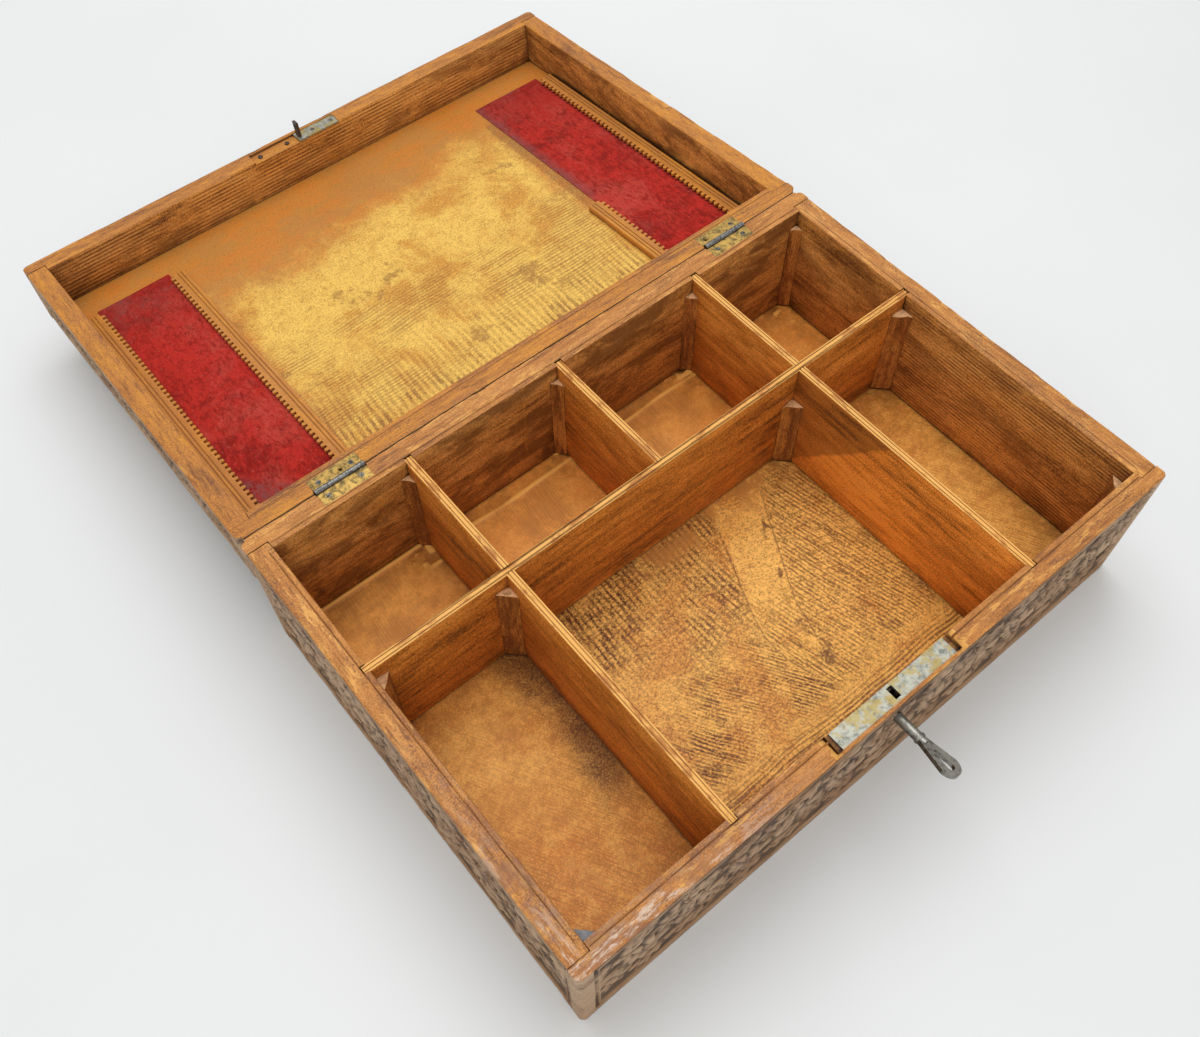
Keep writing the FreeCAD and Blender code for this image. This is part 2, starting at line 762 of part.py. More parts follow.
def build_lock():
    """Saves the lock and the key, and returns what they cut from the front board."""
    into = Vector(0, -1, 0)
    outside, inside = lock_case()
    hole = key_hole()
    pin = drill_pin()
    plate = lock_plate().cut(pin)
    screws = []
    cutters = [outside, hole]
    for index, place in enumerate(lock_screw_places()):
        blank = screw_blank(place, into, lock_screw_length)
        plate = plate.cut(blank)
        cutters.append(blank)
        screws.append(screw(place, into, lock_screw_length, index * key_turned))
    x = around(lock_centre_x, selvedge_length / 2)
    cutters.append(slab(x, (flange_front, -inner_y + overrun), (case_bottom, base_height + overrun)))
    long_x = (x[0] - selvedge_end_gap, x[1] + selvedge_end_gap)
    rim_y = (selvedge_front, -inner_y + overrun)
    cutters.append(slab(long_x, rim_y, (selvedge_under, base_height + overrun)))
    save("lock_plate", [plate])
    save("lock_case", [outside.cut(inside).cut(hole)])
    save("lock_bolt", [lock_bolt()])
    save("lock_bolt_spring", [bolt_spring()])
    save("lock_drill_pin", [pin])
    save("lock_screws", screws)
    save("key", [key()])
    return cutters


def build_lid(hinges):
    """Boards, panel, strips, pads, catch and lid leaves, all folded back together."""
    boards = four_boards((lid_rim_z, lid_top_z))
    reach_x = inner_x + lid_panel_rabbet_depth
    reach_y = inner_y + lid_panel_rabbet_depth
    panel = slab((-reach_x, reach_x), (-reach_y, reach_y), (tray_z, lid_top_z))
    for name, board in boards.items():
        boards[name] = board.cut(panel)
    band = back_band((lid_rim_z, lid_rim_z + back_band_height))
    boards["back"] = boards["back"].fuse(band).removeSplitter()
    up = Vector(0, 0, 1)
    leaf_y = (half_depth - hinge_leaf_width, half_depth + overrun)
    leaf_screws = []
    pieces = {}
    for word, side in (("left", -1), ("right", 1)):
        _, lid_leaf, _ = hinges[side]
        x = hinge_x(side)
        mortise_z = (lid_rim_z - overrun, lid_rim_z + hinge_leaf_thickness)
        boards["back"] = boards["back"].cut(slab(x, leaf_y, mortise_z))
        outer, inner = hinge_screw_places(side)
        row = half_depth - hinge_screw_edge
        if side < 0:
            spare = inner + side * (spare_hole_inset - hinge_screw_inset)
            holes = []
            for turn, place in zip((10, 55), (outer, inner)):
                seat = Vector(place, row, lid_rim_z)
                holes.append(screw_blank(seat, up, screw_length))
                leaf_screws.append(screw(seat, up, screw_length, turn))
        else:
            spare = inner
            top = Vector(outer, row, lid_rim_z)
            seat = top + up * (round_head_height - round_head_rise)
            leaf_screws.append(round_screw(seat, up, round_head_height, screw_length, 35))
            holes = [rod(screw_head_radius, top, seat), rod(screw_shank_radius, seat, seat + up * screw_length)]
        holes.append(screw_blank(Vector(spare, row, lid_rim_z), up, screw_length))
        pieces["hinge_" + word + "_lid_leaf"] = cut_all(lid_leaf, holes)
        boards["back"] = cut_all(boards["back"], holes)
    link = catch_link()
    plate = catch_plate().cut(link)
    row = (-half_depth + wood_before_catch - inner_y) / 2
    plate_top = lid_rim_z + catch_recess_depth - catch_plate_thickness
    plate_screws = []
    old_screws = []
    boards["front"] = boards["front"].cut(catch_recess())
    offsets = ((catch_screw_inner, old_screw_inner), (catch_screw_outer, old_screw_outer))
    for index, (offset, old_offset) in enumerate(offsets):
        seat = Vector(lock_centre_x + offset, row, plate_top)
        blank = screw_blank(seat, up, screw_length)
        plate = plate.cut(blank)
        boards["front"] = boards["front"].cut(blank)
        plate_screws.append(screw(seat, up, screw_length, 20 + 60 * index))
        old_seat = Vector(lock_centre_x - old_offset, row, lid_rim_z + catch_recess_depth)
        old_screws.append(round_screw(old_seat, up, old_screw_head_height, screw_length, 80 - 50 * index))
        old_hole = rod(screw_shank_radius, old_seat, old_seat + up * screw_length)
        boards["front"] = boards["front"].cut(old_hole)
    for name, board in boards.items():
        pieces["lid_" + name + "_board"] = board
    strips, pads = lid_strips()
    pieces.update(strips)
    pieces.update(pads)
    pieces["lid_panel"] = panel
    pieces["catch_plate"] = plate
    pieces["catch_link"] = link
    for name, shape in pieces.items():
        save(name, [opened(shape)])
    save("hinge_lid_screws", [opened(one) for one in leaf_screws])
    save("catch_screws", [opened(one) for one in plate_screws])
    save("catch_old_screws", [opened(one) for one in old_screws])


pairs = {side: hinge(side) for side in (-1, 1)}
build_base(pairs, build_lock())
build_lid(pairs)
print("lid folds back by", round(open_angle, 3), "degrees")
print("bolt shift unlocked and locked", round(unlocked_shift, 3), round(locked_shift, 3))
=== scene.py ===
"""The looks of an old carved box with cells, a lock and a lid folded back.

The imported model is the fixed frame, in metres, and every piece is built on it.
"""

import math

import bmesh
import bpy
import numpy as np
from bpy.props import FloatProperty, FloatVectorProperty, IntProperty, PointerProperty
from mathutils import Matrix, Vector


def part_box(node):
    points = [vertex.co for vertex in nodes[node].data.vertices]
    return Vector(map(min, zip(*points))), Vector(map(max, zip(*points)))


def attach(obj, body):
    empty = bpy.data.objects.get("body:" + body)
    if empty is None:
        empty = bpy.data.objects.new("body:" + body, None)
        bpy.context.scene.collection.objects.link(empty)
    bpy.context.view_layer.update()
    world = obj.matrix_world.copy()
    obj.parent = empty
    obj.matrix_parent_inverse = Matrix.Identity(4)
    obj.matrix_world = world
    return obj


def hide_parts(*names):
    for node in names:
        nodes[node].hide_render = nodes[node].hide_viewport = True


bl_info = {
    "name": "Carved box with cells",
    "version": (1, 0, 0),
    "blender": (4, 5, 0),
    "location": "3D View > Sidebar > Carved box",
    "description": "Builds the carved boards, linings and finishes of a box on its packed model",
    "category": "Object",
}

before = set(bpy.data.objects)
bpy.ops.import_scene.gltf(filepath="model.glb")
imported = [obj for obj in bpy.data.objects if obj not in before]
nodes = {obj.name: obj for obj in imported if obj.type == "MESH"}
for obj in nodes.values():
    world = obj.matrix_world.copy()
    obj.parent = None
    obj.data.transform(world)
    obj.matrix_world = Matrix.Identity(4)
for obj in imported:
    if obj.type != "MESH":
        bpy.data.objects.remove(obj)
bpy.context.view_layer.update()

MM = 0.001
X, Y, Z = 0, 1, 2

front_low, front_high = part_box("base_front_board")
divider_low, divider_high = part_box("long_divider")
side_low, side_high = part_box("front_divider_right")

half_length = front_high.x
half_depth = -front_low.y
long_wall = 11.5 * MM
rim_z = front_high.z
floor_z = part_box("base_bottom_board")[1].z
inner_x = -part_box("base_left_board")[1].x
inner_y = half_depth - long_wall
side_x = (side_low.x + side_high.x) / 2

pin_low, pin_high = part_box("hinge_left_pin")
hinge_place = Vector((0, (pin_low.y + pin_high.y) / 2, (pin_low.z + pin_high.z) / 2))
lid_turn = math.radians(185.004)
to_hinge = Matrix.Translation(hinge_place)
folded = to_hinge @ Matrix.Rotation(-lid_turn, 4, "X") @ to_hinge.inverted()
closed = folded.inverted()
rim_gap = 0.3 * MM
lid_height = 36 * MM
lid_top_z = rim_z + rim_gap + lid_height


def paint(text):
    """A colour written as six hex digits, as linear red, green and blue."""
    parts = [int(text[place:place + 2], 16) / 255 for place in (0, 2, 4)]
    return tuple(p / 12.92 if p <= 0.04045 else ((p + 0.055) / 1.055) ** 2.4 for p in parts)


def colour_property(text, about):
    return FloatVectorProperty(description=about, default=paint(text), subtype="COLOR", size=3, min=0, max=1)


def length_property(value, about):
    return FloatProperty(description=about, default=value, min=0, subtype="DISTANCE", unit="LENGTH")


class BoxSizes(bpy.types.PropertyGroup):
    """Sizes of the worked detail, in metres."""

    carving_depth: length_property(1.5 * MM, "How far the ground is sunk below the carving")
    carving_step: length_property(1.0 * MM, "Spacing of the points on a carved face")
    plain_corner: length_property(8 * MM, "Uncarved band beside each upright corner")
    plain_edge: length_property(4 * MM, "Uncarved band along the top and bottom of a face")
    scroll_pitch: length_property(62 * MM, "Length of one wave of the carved stem")
    edge_wear: length_property(0.9 * MM, "Radius worn on the outer edges of the boards")
    small_wear: length_property(0.4 * MM, "Radius worn on dividers, blocks and strips")
    gauge_inset: length_property(3 * MM, "Distance of the scribed line from the inner edge")
    gauge_depth: length_property(0.35 * MM, "Depth of the scribed line on the rims")
    pad_crown: length_property(0.5 * MM, "How far the lining rises between its edges")
    carving_seed: IntProperty(description="Changes the small irregularities", default=3)


class BoxColours(bpy.types.PropertyGroup):
    """Colours of the finishes."""

    carved_pale: colour_property("c2a384", "Weathered wood of the carving")
    carved_mid: colour_property("957860", "Weathered wood in its streaks")
    carved_warm: colour_property("94683f", "Browner wood towards the foot")
    # This deep tone is the dirt in the cracks and also the painted shade in the sunk ground and creases.
    carved_dirt_and_shade: colour_property("43352b", "Dirt in the cracks and the sunk ground")
    rim_pale: colour_property("d99751", "Handled wood on the rims")
    rim_golden: colour_property("d68f35", "Handled wood on the rims of the lid")
    rim_mid: colour_property("bd7a38", "Oiled wood on the rims")
    rim_deep: colour_property("84502a", "Old stain on the rims")
    bruise: colour_property("6e4a36", "Greyed patches on the rims")
    chalk: colour_property("e0c8b4", "Worn and whitened wood near one corner")
    wall_pale: colour_property("f0b060", "Rubbed stain on the inner walls")
    wall_mid: colour_property("ca873f", "Stain on the inner walls")
    # This deep tone is the stain on the walls and also the painted shade in corners and creases.
    wall_stain_and_shade: colour_property("663a17", "Stain gathered in the corners")
    floor_pale: colour_property("ffc462", "Golden floor of the middle cell")
    floor_mid: colour_property("e0983f", "Floors of the other cells")
    floor_deep: colour_property("653411", "Dark strokes on the floors")
    panel_pale: colour_property("f0c35c", "Golden panel inside the lid")
    panel_mid: colour_property("d39337", "Browner edges of the lid panel")
    panel_stain: colour_property("9a692b", "Old spills on the lid panel")
    edge_pale: colour_property("f4b862", "Rubbed top edges of the dividers")
    divider_pale: colour_property("f7a347", "Rubbed stain on the dividers")
    divider_mid: colour_property("cc7a2b", "Stain on the dividers")
    block: colour_property("864c22", "Dark glue blocks")
    raw_wood: colour_property("e6b483", "Bare and broken wood")
    slate: colour_property("8a8b90", "The grey top of one glue block")
    velvet: colour_property("c62f27", "Crimson lining in the lid")
    velvet_worn: colour_property("d28a78", "Dusty pile")
    velvet_bare: colour_property("86504e", "Thin pile with the backing behind it")
    # This deep tone also paints the shade along the edges of the pads.
    velvet_deep: colour_property("8c1a16", "Pile that leans away")
    brass: colour_property("b4924e", "Hinge leaves")
    brass_deep: colour_property("5d4f34", "Tarnish on the hinge leaves")
    knuckle: colour_property("7f7d79", "Steel barrels of the hinges")
    plate: colour_property("a3a295", "Tinned steel of the lock plate")
    plate_yellow: colour_property("a08a45", "Old lacquer on the lock plate")
    plate_grey: colour_property("6c6d68", "Dull spots on the lock plate")
    iron: colour_property("4a4743", "Pins, springs and old screws")
    rust: colour_property("6b3d1f", "Rust on iron")
    steel: colour_property("8e8b82", "Polished steel of the key")
    steel_deep: colour_property("55544f", "Tarnish on the key")
    screw: colour_property("7b766a", "Worn heads of the screws")
    table: colour_property("edeff1", "The plain pale floor")


class Socket:
    """The output of a node, so that shader maths reads as plain expressions."""

    def __init__(self, tree, output=None):
        self.tree = tree
        self.output = output

    def node(self, kind, settings=None, inputs=None, output=0):
        """Adds a node, sets it up first, fills its sockets and hands back one output."""
        made = self.tree.nodes.new(kind)
        for name, value in (settings or {}).items():
            setattr(made, name, value)
        for name, value in (inputs or {}).items():
            if isinstance(value, Socket):
                self.tree.links.new(value.output, made.inputs[name])
            else:
                made.inputs[name].default_value = value
        return Socket(self.tree, made.outputs[output]) if len(made.outputs) else None

    def maths(self, operation, first, second=0.0):
        return self.node("ShaderNodeMath", {"operation": operation}, {0: first, 1: second})

    def __add__(self, other):
        return self.maths("ADD", self, other)

    __radd__ = __add__

    def __sub__(self, other):
        return self.maths("SUBTRACT", self, other)

    def __rsub__(self, other):
        return self.maths("SUBTRACT", other, self)

    def __mul__(self, other):
        return self.maths("MULTIPLY", self, other)

    __rmul__ = __mul__

    def __truediv__(self, other):
        return self.maths("DIVIDE", self, other)

    def __abs__(self):
        return self.maths("ABSOLUTE", self)

    def larger(self, other):
        return self.maths("MAXIMUM", self, other)

    def smaller(self, other):
        return self.maths("MINIMUM", self, other)

    def part(self, axis):
        return self.node("ShaderNodeSeparateXYZ", None, {0: self}, axis)

    def stretched(self, across):
        return self.node("ShaderNodeVectorMath", {"operation": "MULTIPLY"}, {0: self, 1: across})

    def shifted(self, by):
        return self.node("ShaderNodeVectorMath", {"operation": "ADD"}, {0: self, 1: by})

    def noise(self, scale, detail=3.0, roughness=0.55, distortion=0.0):
        shape = {"Scale": scale, "Detail": detail, "Roughness": roughness, "Distortion": distortion}
        return self.node("ShaderNodeTexNoise", None, {"Vector": self, **shape})

    def rise(self, low, high):
        """0 below low, 1 above high, and smooth between."""
        values = {"Value": self, "From Min": low, "From Max": high}
        return self.node("ShaderNodeMapRange", {"interpolation_type": "SMOOTHSTEP"}, values)

    def fall(self, low, high):
        return 1 - self.rise(low, high)

    def band(self, low, high, soft):
        """1 between low and high, fading over soft on both sides."""
        return self.rise(low - soft, low + soft) * self.fall(high - soft, high + soft)

    def under(self, mask, tone, share=1.0):
        """This colour under a tone that shows where the mask is 1."""
        return mixed(mask, self, opaque(tone, share))


def mixed(factor, first, second):
    """Two colours mixed by a mask."""
    return factor.node("ShaderNodeMix", {"data_type": "RGBA"}, {0: factor, 6: first, 7: second}, 2)


def opaque(colour, share=1.0):
    """A colour for a socket, darkened to a share of itself."""
    return (*(part * share for part in colour), 1.0)


class Finish:
    """A material in the making, with the place on the object as its first socket."""

    def __init__(self, name, offset=0.0):
        self.material = bpy.data.materials.new(name)
        self.material.use_nodes = True
        tree = self.material.node_tree
        tree.nodes.clear()
        self.start = Socket(tree)
        self.place = self.start.node("ShaderNodeTexCoord", output="Object")
        self.spot = self.place.shifted((offset, offset * 0.37, offset * 0.73))

    def open_share(self, reach):
        return self.start.node("ShaderNodeAmbientOcclusion", {"samples": 4}, {"Distance": reach}, "AO")

    def corner_shade(self, reach):
        """Painted shade: 1 deep in corners and 0 in the open, from the ambient occlusion."""
        return self.open_share(reach).fall(0.1, 0.8)

    def crease(self, reach):
        """1 along the line where two faces meet in a corner, and 0 beside it, from the ambient occlusion; on
        the woods it places painted shade in the creases.
        """
        return self.open_share(reach).fall(0.48, 0.76)

    def blotch(self, scale, detail, roughness, low, high):
        """Ragged patches: 1 where the noise is above high, 0 below low."""
        return self.spot.noise(scale, detail, roughness).rise(low, high)

    def noted(self, name):
        """A value that the mesh holds at its points."""
        return self.start.node("ShaderNodeAttribute", {"attribute_name": name}, output="Fac")

    def upward(self):
        """1 on faces that look up, 0 on upright ones."""
        return self.start.node("ShaderNodeTexCoord", output="Normal").part(Z).rise(0.4, 0.85)

    def strokes(self, heading, pitch, length, low, high, comb=0.0):
        """Dark strokes of a tool that ran along a heading in degrees from X towards Y.

        The larger comb is, the more evenly the strokes lie, two pitches apart.
        """
        x, y = self.place.part(X), self.place.part(Y)
        turn = math.radians(heading)
        bend = self.spot.noise(12.0, 2.0) * (9 * MM)
        along = x * math.cos(turn) + y * math.sin(turn)
        across = (y * math.cos(turn) - x * math.sin(turn) + bend) / pitch
        line = self.start.node("ShaderNodeCombineXYZ", None, {"X": across, "Y": along / length, "Z": 0.0})
        marks = line.noise(1.0, 4.0, 0.68, 0.15)
        if comb:
            wave = across * math.pi + marks * 3.0
            marks = marks + wave.maths("SINE", wave) * comb
        return marks.rise(low, high)

    def close(self, colour, roughness, height, strength, distance, **constants):
        relief = {"Height": height, "Strength": strength, "Distance": distance}
        bump = height.node("ShaderNodeBump", None, relief)
        values = {"Base Color": colour, "Roughness": roughness, "Normal": bump}
        values.update({name.replace("_", " "): value for name, value in constants.items()})
        shader = bump.node("ShaderNodeBsdfPrincipled", None, values)
        shader.node("ShaderNodeOutputMaterial", None, {"Surface": shader})
        return self.material


ALONG_X = (0.05, 1.0, 1.0)
ALONG_Y = (1.0, 0.05, 1.0)
ALONG_Z = (1.0, 1.0, 0.05)
DULL = {"Specular_IOR_Level": 0.32}


def wood_tones(finish, along, pale, mid, deep, patch=26.0, line=520.0, speck=0.6):
    """Colour and relief of old stained wood with its grain along one axis."""
    run = finish.spot.stretched(along)
    drawn = finish.spot.stretched(tuple(part ** 0.45 for part in along))
    fibres = run.noise(line, 5.0, 0.7)
    figure = run.noise(line * 0.16, 3.0, 0.55, 1.2)
    patches = drawn.noise(patch * 1.4, 6.0, 0.66, 0.5)
    mottle = drawn.noise(patch * 9, 5.0, 0.72, 0.3)
    tone = patches * 0.4 + figure * 0.16 + mottle * 0.22 + fibres * 0.22
    colour = mixed(tone.rise(0.4, 0.49), opaque(deep), opaque(mid))
    colour = colour.under(tone.rise(0.47, 0.58), pale)
    pores = run.noise(line * 2.6, 3.0, 0.6).rise(0.55, 0.66)
    colour = colour.under(pores * 0.4, deep, 0.6)
    grit = finish.spot.noise(1250.0, 2.0, 0.75)
    colour = colour.under(grit.fall(0.38, 0.48) * speck, deep, 0.8)
    colour = colour.under(grit.rise(0.53, 0.62) * speck * 0.6, pale, 1.25)
    height = fibres * 0.4 + (1 - pores) * 0.3 + grit * 0.3
    return colour, height, patches, grit


def inner_wood(name, along, looks, offset=0.0, ribs=None):
    """Rubbed orange-brown stain with smoky patches, and painted shade in the corners and along the joints."""
    finish = Finish(name, offset)
    colour, height, patches, grit = wood_tones(finish, along, looks.wall_pale, looks.wall_mid, looks.wall_stain_and_shade)
    if ribs:
        pitch, low, high = ribs
        across = finish.place.part(Z) * (2 * math.pi / pitch)
        wobble = finish.spot.stretched(along).noise(60.0, 2.0) * 4.0
        rib = (across + wobble).maths("SINE", across + wobble)
        held = finish.blotch(26.0, 7.0, 0.7, 0.4, 0.58) * finish.place.part(Y).band(low, high, 12 * MM)
        colour = colour.under(rib.rise(0.1, 0.8) * held * 0.6, looks.wall_stain_and_shade, 0.8)
        colour = colour.under(rib.fall(-0.9, -0.4) * held * (0.25 + grit * 0.7), looks.wall_pale, 1.1)
        height = height + rib * held * 0.8
    smoke = finish.spot.stretched(tuple(part ** 0.3 for part in along)).noise(42.0, 7.0, 0.72, 0.5)
    colour = colour.under(smoke.rise(0.45, 0.6) * (0.45 if ribs else 0.75), looks.wall_stain_and_shade)
    colour = colour.under(smoke.fall(0.36, 0.46) * grit.rise(0.4, 0.6) * 0.5, looks.floor_mid)
    scratches = finish.strokes(18.0, 0.9 * MM, 34 * MM, 0.62, 0.7)
    colour = colour.under(scratches * 0.35, looks.floor_mid)
    # Painted shade: blotchy darkening that gathers in the corners.
    blotchy_shade = finish.corner_shade(30 * MM) * finish.blotch(48.0, 6.0, 0.72, 0.36, 0.56)
    colour = colour.under(blotchy_shade * 0.85, looks.wall_stain_and_shade, 0.65)
    # Smudges that show only where the wall is hemmed in, so they are painted shade in the hollows.
    smudge = finish.spot.shifted((0.2, 0.5, 0.1)).noise(30.0, 7.0, 0.7, 0.8).rise(0.54, 0.66)
    colour = colour.under(smudge * finish.corner_shade(60 * MM) * 0.9, looks.wall_stain_and_shade, 0.4)
    # Painted shade along the creases where the wall meets other faces.
    colour = colour.under(finish.crease(3 * MM) * 0.9, looks.wall_stain_and_shade, 0.22)
    roughness = 0.42 + patches * 0.3
    return finish.close(colour, roughness, height, 0.45, 0.3 * MM, **DULL)


def rim_wood(name, along, looks, offset=0.0, pale=None, bruising=0.8):
    """Handled, oiled wood on the rims, whitened where the front left corner is worn."""
    finish = Finish(name, offset)
    colour, height, patches, grit = wood_tones(
        finish, along, pale or looks.rim_pale, looks.rim_mid, looks.rim_deep, 34.0, 620.0, 0.4
    )
    run = finish.spot.stretched(tuple(part ** 0.5 for part in along))
    bruise = run.noise(90.0, 8.0, 0.8, 0.3).rise(0.48, 0.58)
    colour = colour.under(bruise * grit.fall(0.3, 0.62) * bruising, looks.bruise)
    rubbed = run.noise(220.0, 6.0, 0.75).rise(0.54, 0.62)
    colour = colour.under(rubbed * 0.5, pale or looks.edge_pale, 1.1)
    scratches = finish.spot.stretched(tuple(part * 0.6 for part in along)).noise(1500.0, 2.0).rise(0.6, 0.68)
    colour = colour.under(scratches * 0.5, looks.rim_deep, 0.7)
    east = finish.place.part(X) + half_length
    north = finish.place.part(Y) + half_depth
    near_corner = east.larger(north).fall(0.03, 0.15)
    outer = east.smaller(north).fall(4 * MM, 9 * MM)
    greyed = finish.blotch(85.0, 7.0, 0.75, 0.42, 0.58) * near_corner
    colour = colour.under(greyed * 0.65, looks.bruise, 1.7)
    chalk = run.noise(160.0, 8.0, 0.8).rise(0.48, 0.58) * near_corner
    front = north.fall(16 * MM, 22 * MM)
    colour = colour.under(chalk * (0.15 + outer * 0.25 + outer * front * 0.5), looks.chalk)
    scribed = finish.noted("scribed")
    smudged = scribed * finish.blotch(90.0, 4.0, 0.65, 0.3, 0.5)
    colour = colour.under(smudged.larger(scribed.rise(0.5, 1.0) * 0.6) * 0.85, looks.wall_stain_and_shade, 0.7)
    chipped = finish.noted("chipped").rise(0.3, 0.7)
    colour = colour.under(chipped * 0.85, looks.edge_pale)
    # Painted shade along the creases where the rim meets other faces, kept off the chips.
    colour = colour.under(finish.crease(2.5 * MM) * (1 - chipped) * 0.75, looks.wall_stain_and_shade, 0.5)
    roughness = 0.4 + patches * 0.3
    return finish.close(colour, roughness, height, 0.45, 0.25 * MM, **DULL)


def carved_wood(name, along, looks, offset=0.0):
    """Grey weathered carving, browner towards the foot, with dirt and painted shade in the sunk ground, and
    raised tops rubbed lighter with a painted highlight.
    """
    finish = Finish(name, offset)
    run = finish.spot.stretched(along)
    depth = finish.noted("carved")
    streaks = run.noise(300.0, 6.0, 0.74, 0.7)
    patches = finish.spot.noise(34.0, 6.0, 0.66, 0.5)
    # The tone drops where the ground is sunk, which paints shade there.
    tone = patches * 0.5 + streaks * 0.5 - depth * 0.08
    colour = mixed(tone.rise(0.32, 0.44), opaque(looks.carved_dirt_and_shade), opaque(looks.carved_mid))
    colour = colour.under(tone.rise(0.4, 0.56), looks.carved_pale)
    foot = (finish.place.part(Z) + patches * 0.05).fall(0.035, 0.085)
    warm = finish.blotch(20.0, 5.0, 0.65, 0.46, 0.62)
    colour = colour.under((foot * 0.6).larger(warm * 0.5), looks.carved_warm)
    cracks = run.noise(640.0, 4.0, 0.65).rise(0.53, 0.6)
    colour = colour.under(cracks * 0.55, looks.carved_dirt_and_shade, 0.5)
    grit = finish.spot.noise(1100.0, 2.0, 0.7)
    colour = colour.under(grit.rise(0.54, 0.66) * 0.3, looks.carved_pale, 1.15)
    # Raised tops rubbed lighter, which also paints a highlight on them.
    rubbed = depth.fall(0.05, 0.3) * patches.rise(0.35, 0.55)
    colour = colour.under(rubbed * 0.4, looks.carved_pale, 1.15)
    # Sunk ground darkened: dirt and painted shade.
    colour = colour.under(depth.rise(0.3, 0.85) * (0.3 + grit * 0.7), looks.carved_dirt_and_shade, 0.8)
    colour = colour.under(finish.noted("chipped").rise(0.3, 0.8) * 0.5, looks.chalk)
    # Painted shade along the creases.
    colour = colour.under(finish.crease(2 * MM) * 0.6, looks.carved_dirt_and_shade, 0.5)
    roughness = 0.6 + patches * 0.25
    height = streaks * 0.4 + (1 - cracks) * 0.3 + grit * (0.2 + depth * 0.6)
    return finish.close(colour, roughness, height, 0.8, 0.4 * MM, **DULL)


def plain_floor(finish, looks):
    """Stained floor of the six outer cells, rubbed lighter in random patches; the middles read lighter because
    floor_wood paints shade at the edges.
    """
    y = finish.place.part(Y)
    rub = finish.spot.noise(17.0, 7.0, 0.68)
    grit = finish.spot.noise(1250.0, 2.0, 0.75)
    colour = mixed(rub.rise(0.32, 0.52), opaque(looks.divider_mid, 1.2), opaque(looks.floor_mid))
    colour = colour.under(rub.rise(0.48, 0.66) * 0.7, looks.floor_pale)
    smears = finish.strokes(-62.0, 0.8 * MM, 36 * MM, 0.46, 0.58, 0.03)
    colour = colour.under(smears * (0.25 + y.fall(-0.07, 0.0) * 0.35), looks.divider_mid, 0.6)
    mottle = finish.spot.noise(120.0, 6.0, 0.75)
    colour = colour.under(mottle.rise(0.5, 0.6) * 0.35, looks.divider_mid, 0.6)
    colour = colour.under(mottle.fall(0.4, 0.5) * 0.4, looks.floor_pale)
    colour = colour.under(grit.fall(0.4, 0.5) * 0.55, looks.wall_mid)
    colour = colour.under(grit.rise(0.52, 0.62) * 0.5, looks.floor_pale, 1.1)
    back_row = y.rise(divider_low.y, divider_high.y)
    smoke = finish.blotch(28.0, 6.0, 0.68, 0.46, 0.66)
    colour = colour.under(back_row * 0.35, looks.divider_pale, 1.2)
    brushed = finish.strokes(84.0, 0.9 * MM, 24 * MM, 0.44, 0.58, 0.05)
    colour = colour.under(brushed * back_row * smoke * 0.6, looks.divider_mid, 0.7)
    colour = colour.under(smoke * (0.3 + back_row * 0.3), looks.wall_mid)
    from_side = -side_x - finish.place.part(X) + finish.spot.noise(26.0, 7.0, 0.72) * 0.05
    smudge = from_side.fall(0.032, 0.05) * (y + rub * 0.05).rise(-0.05, -0.015)
    spot = from_side.fall(0.026, 0.034) * (y + rub * 0.03).band(-0.095, -0.08, 6 * MM) * 0.8
    smudge = smudge.larger(spot) * from_side.rise(0.005, 0.015) * (1 - back_row)
    return mixed(smudge * (0.55 + grit.fall(0.35, 0.6) * 0.45), colour, opaque(looks.wall_stain_and_shade, 0.8))


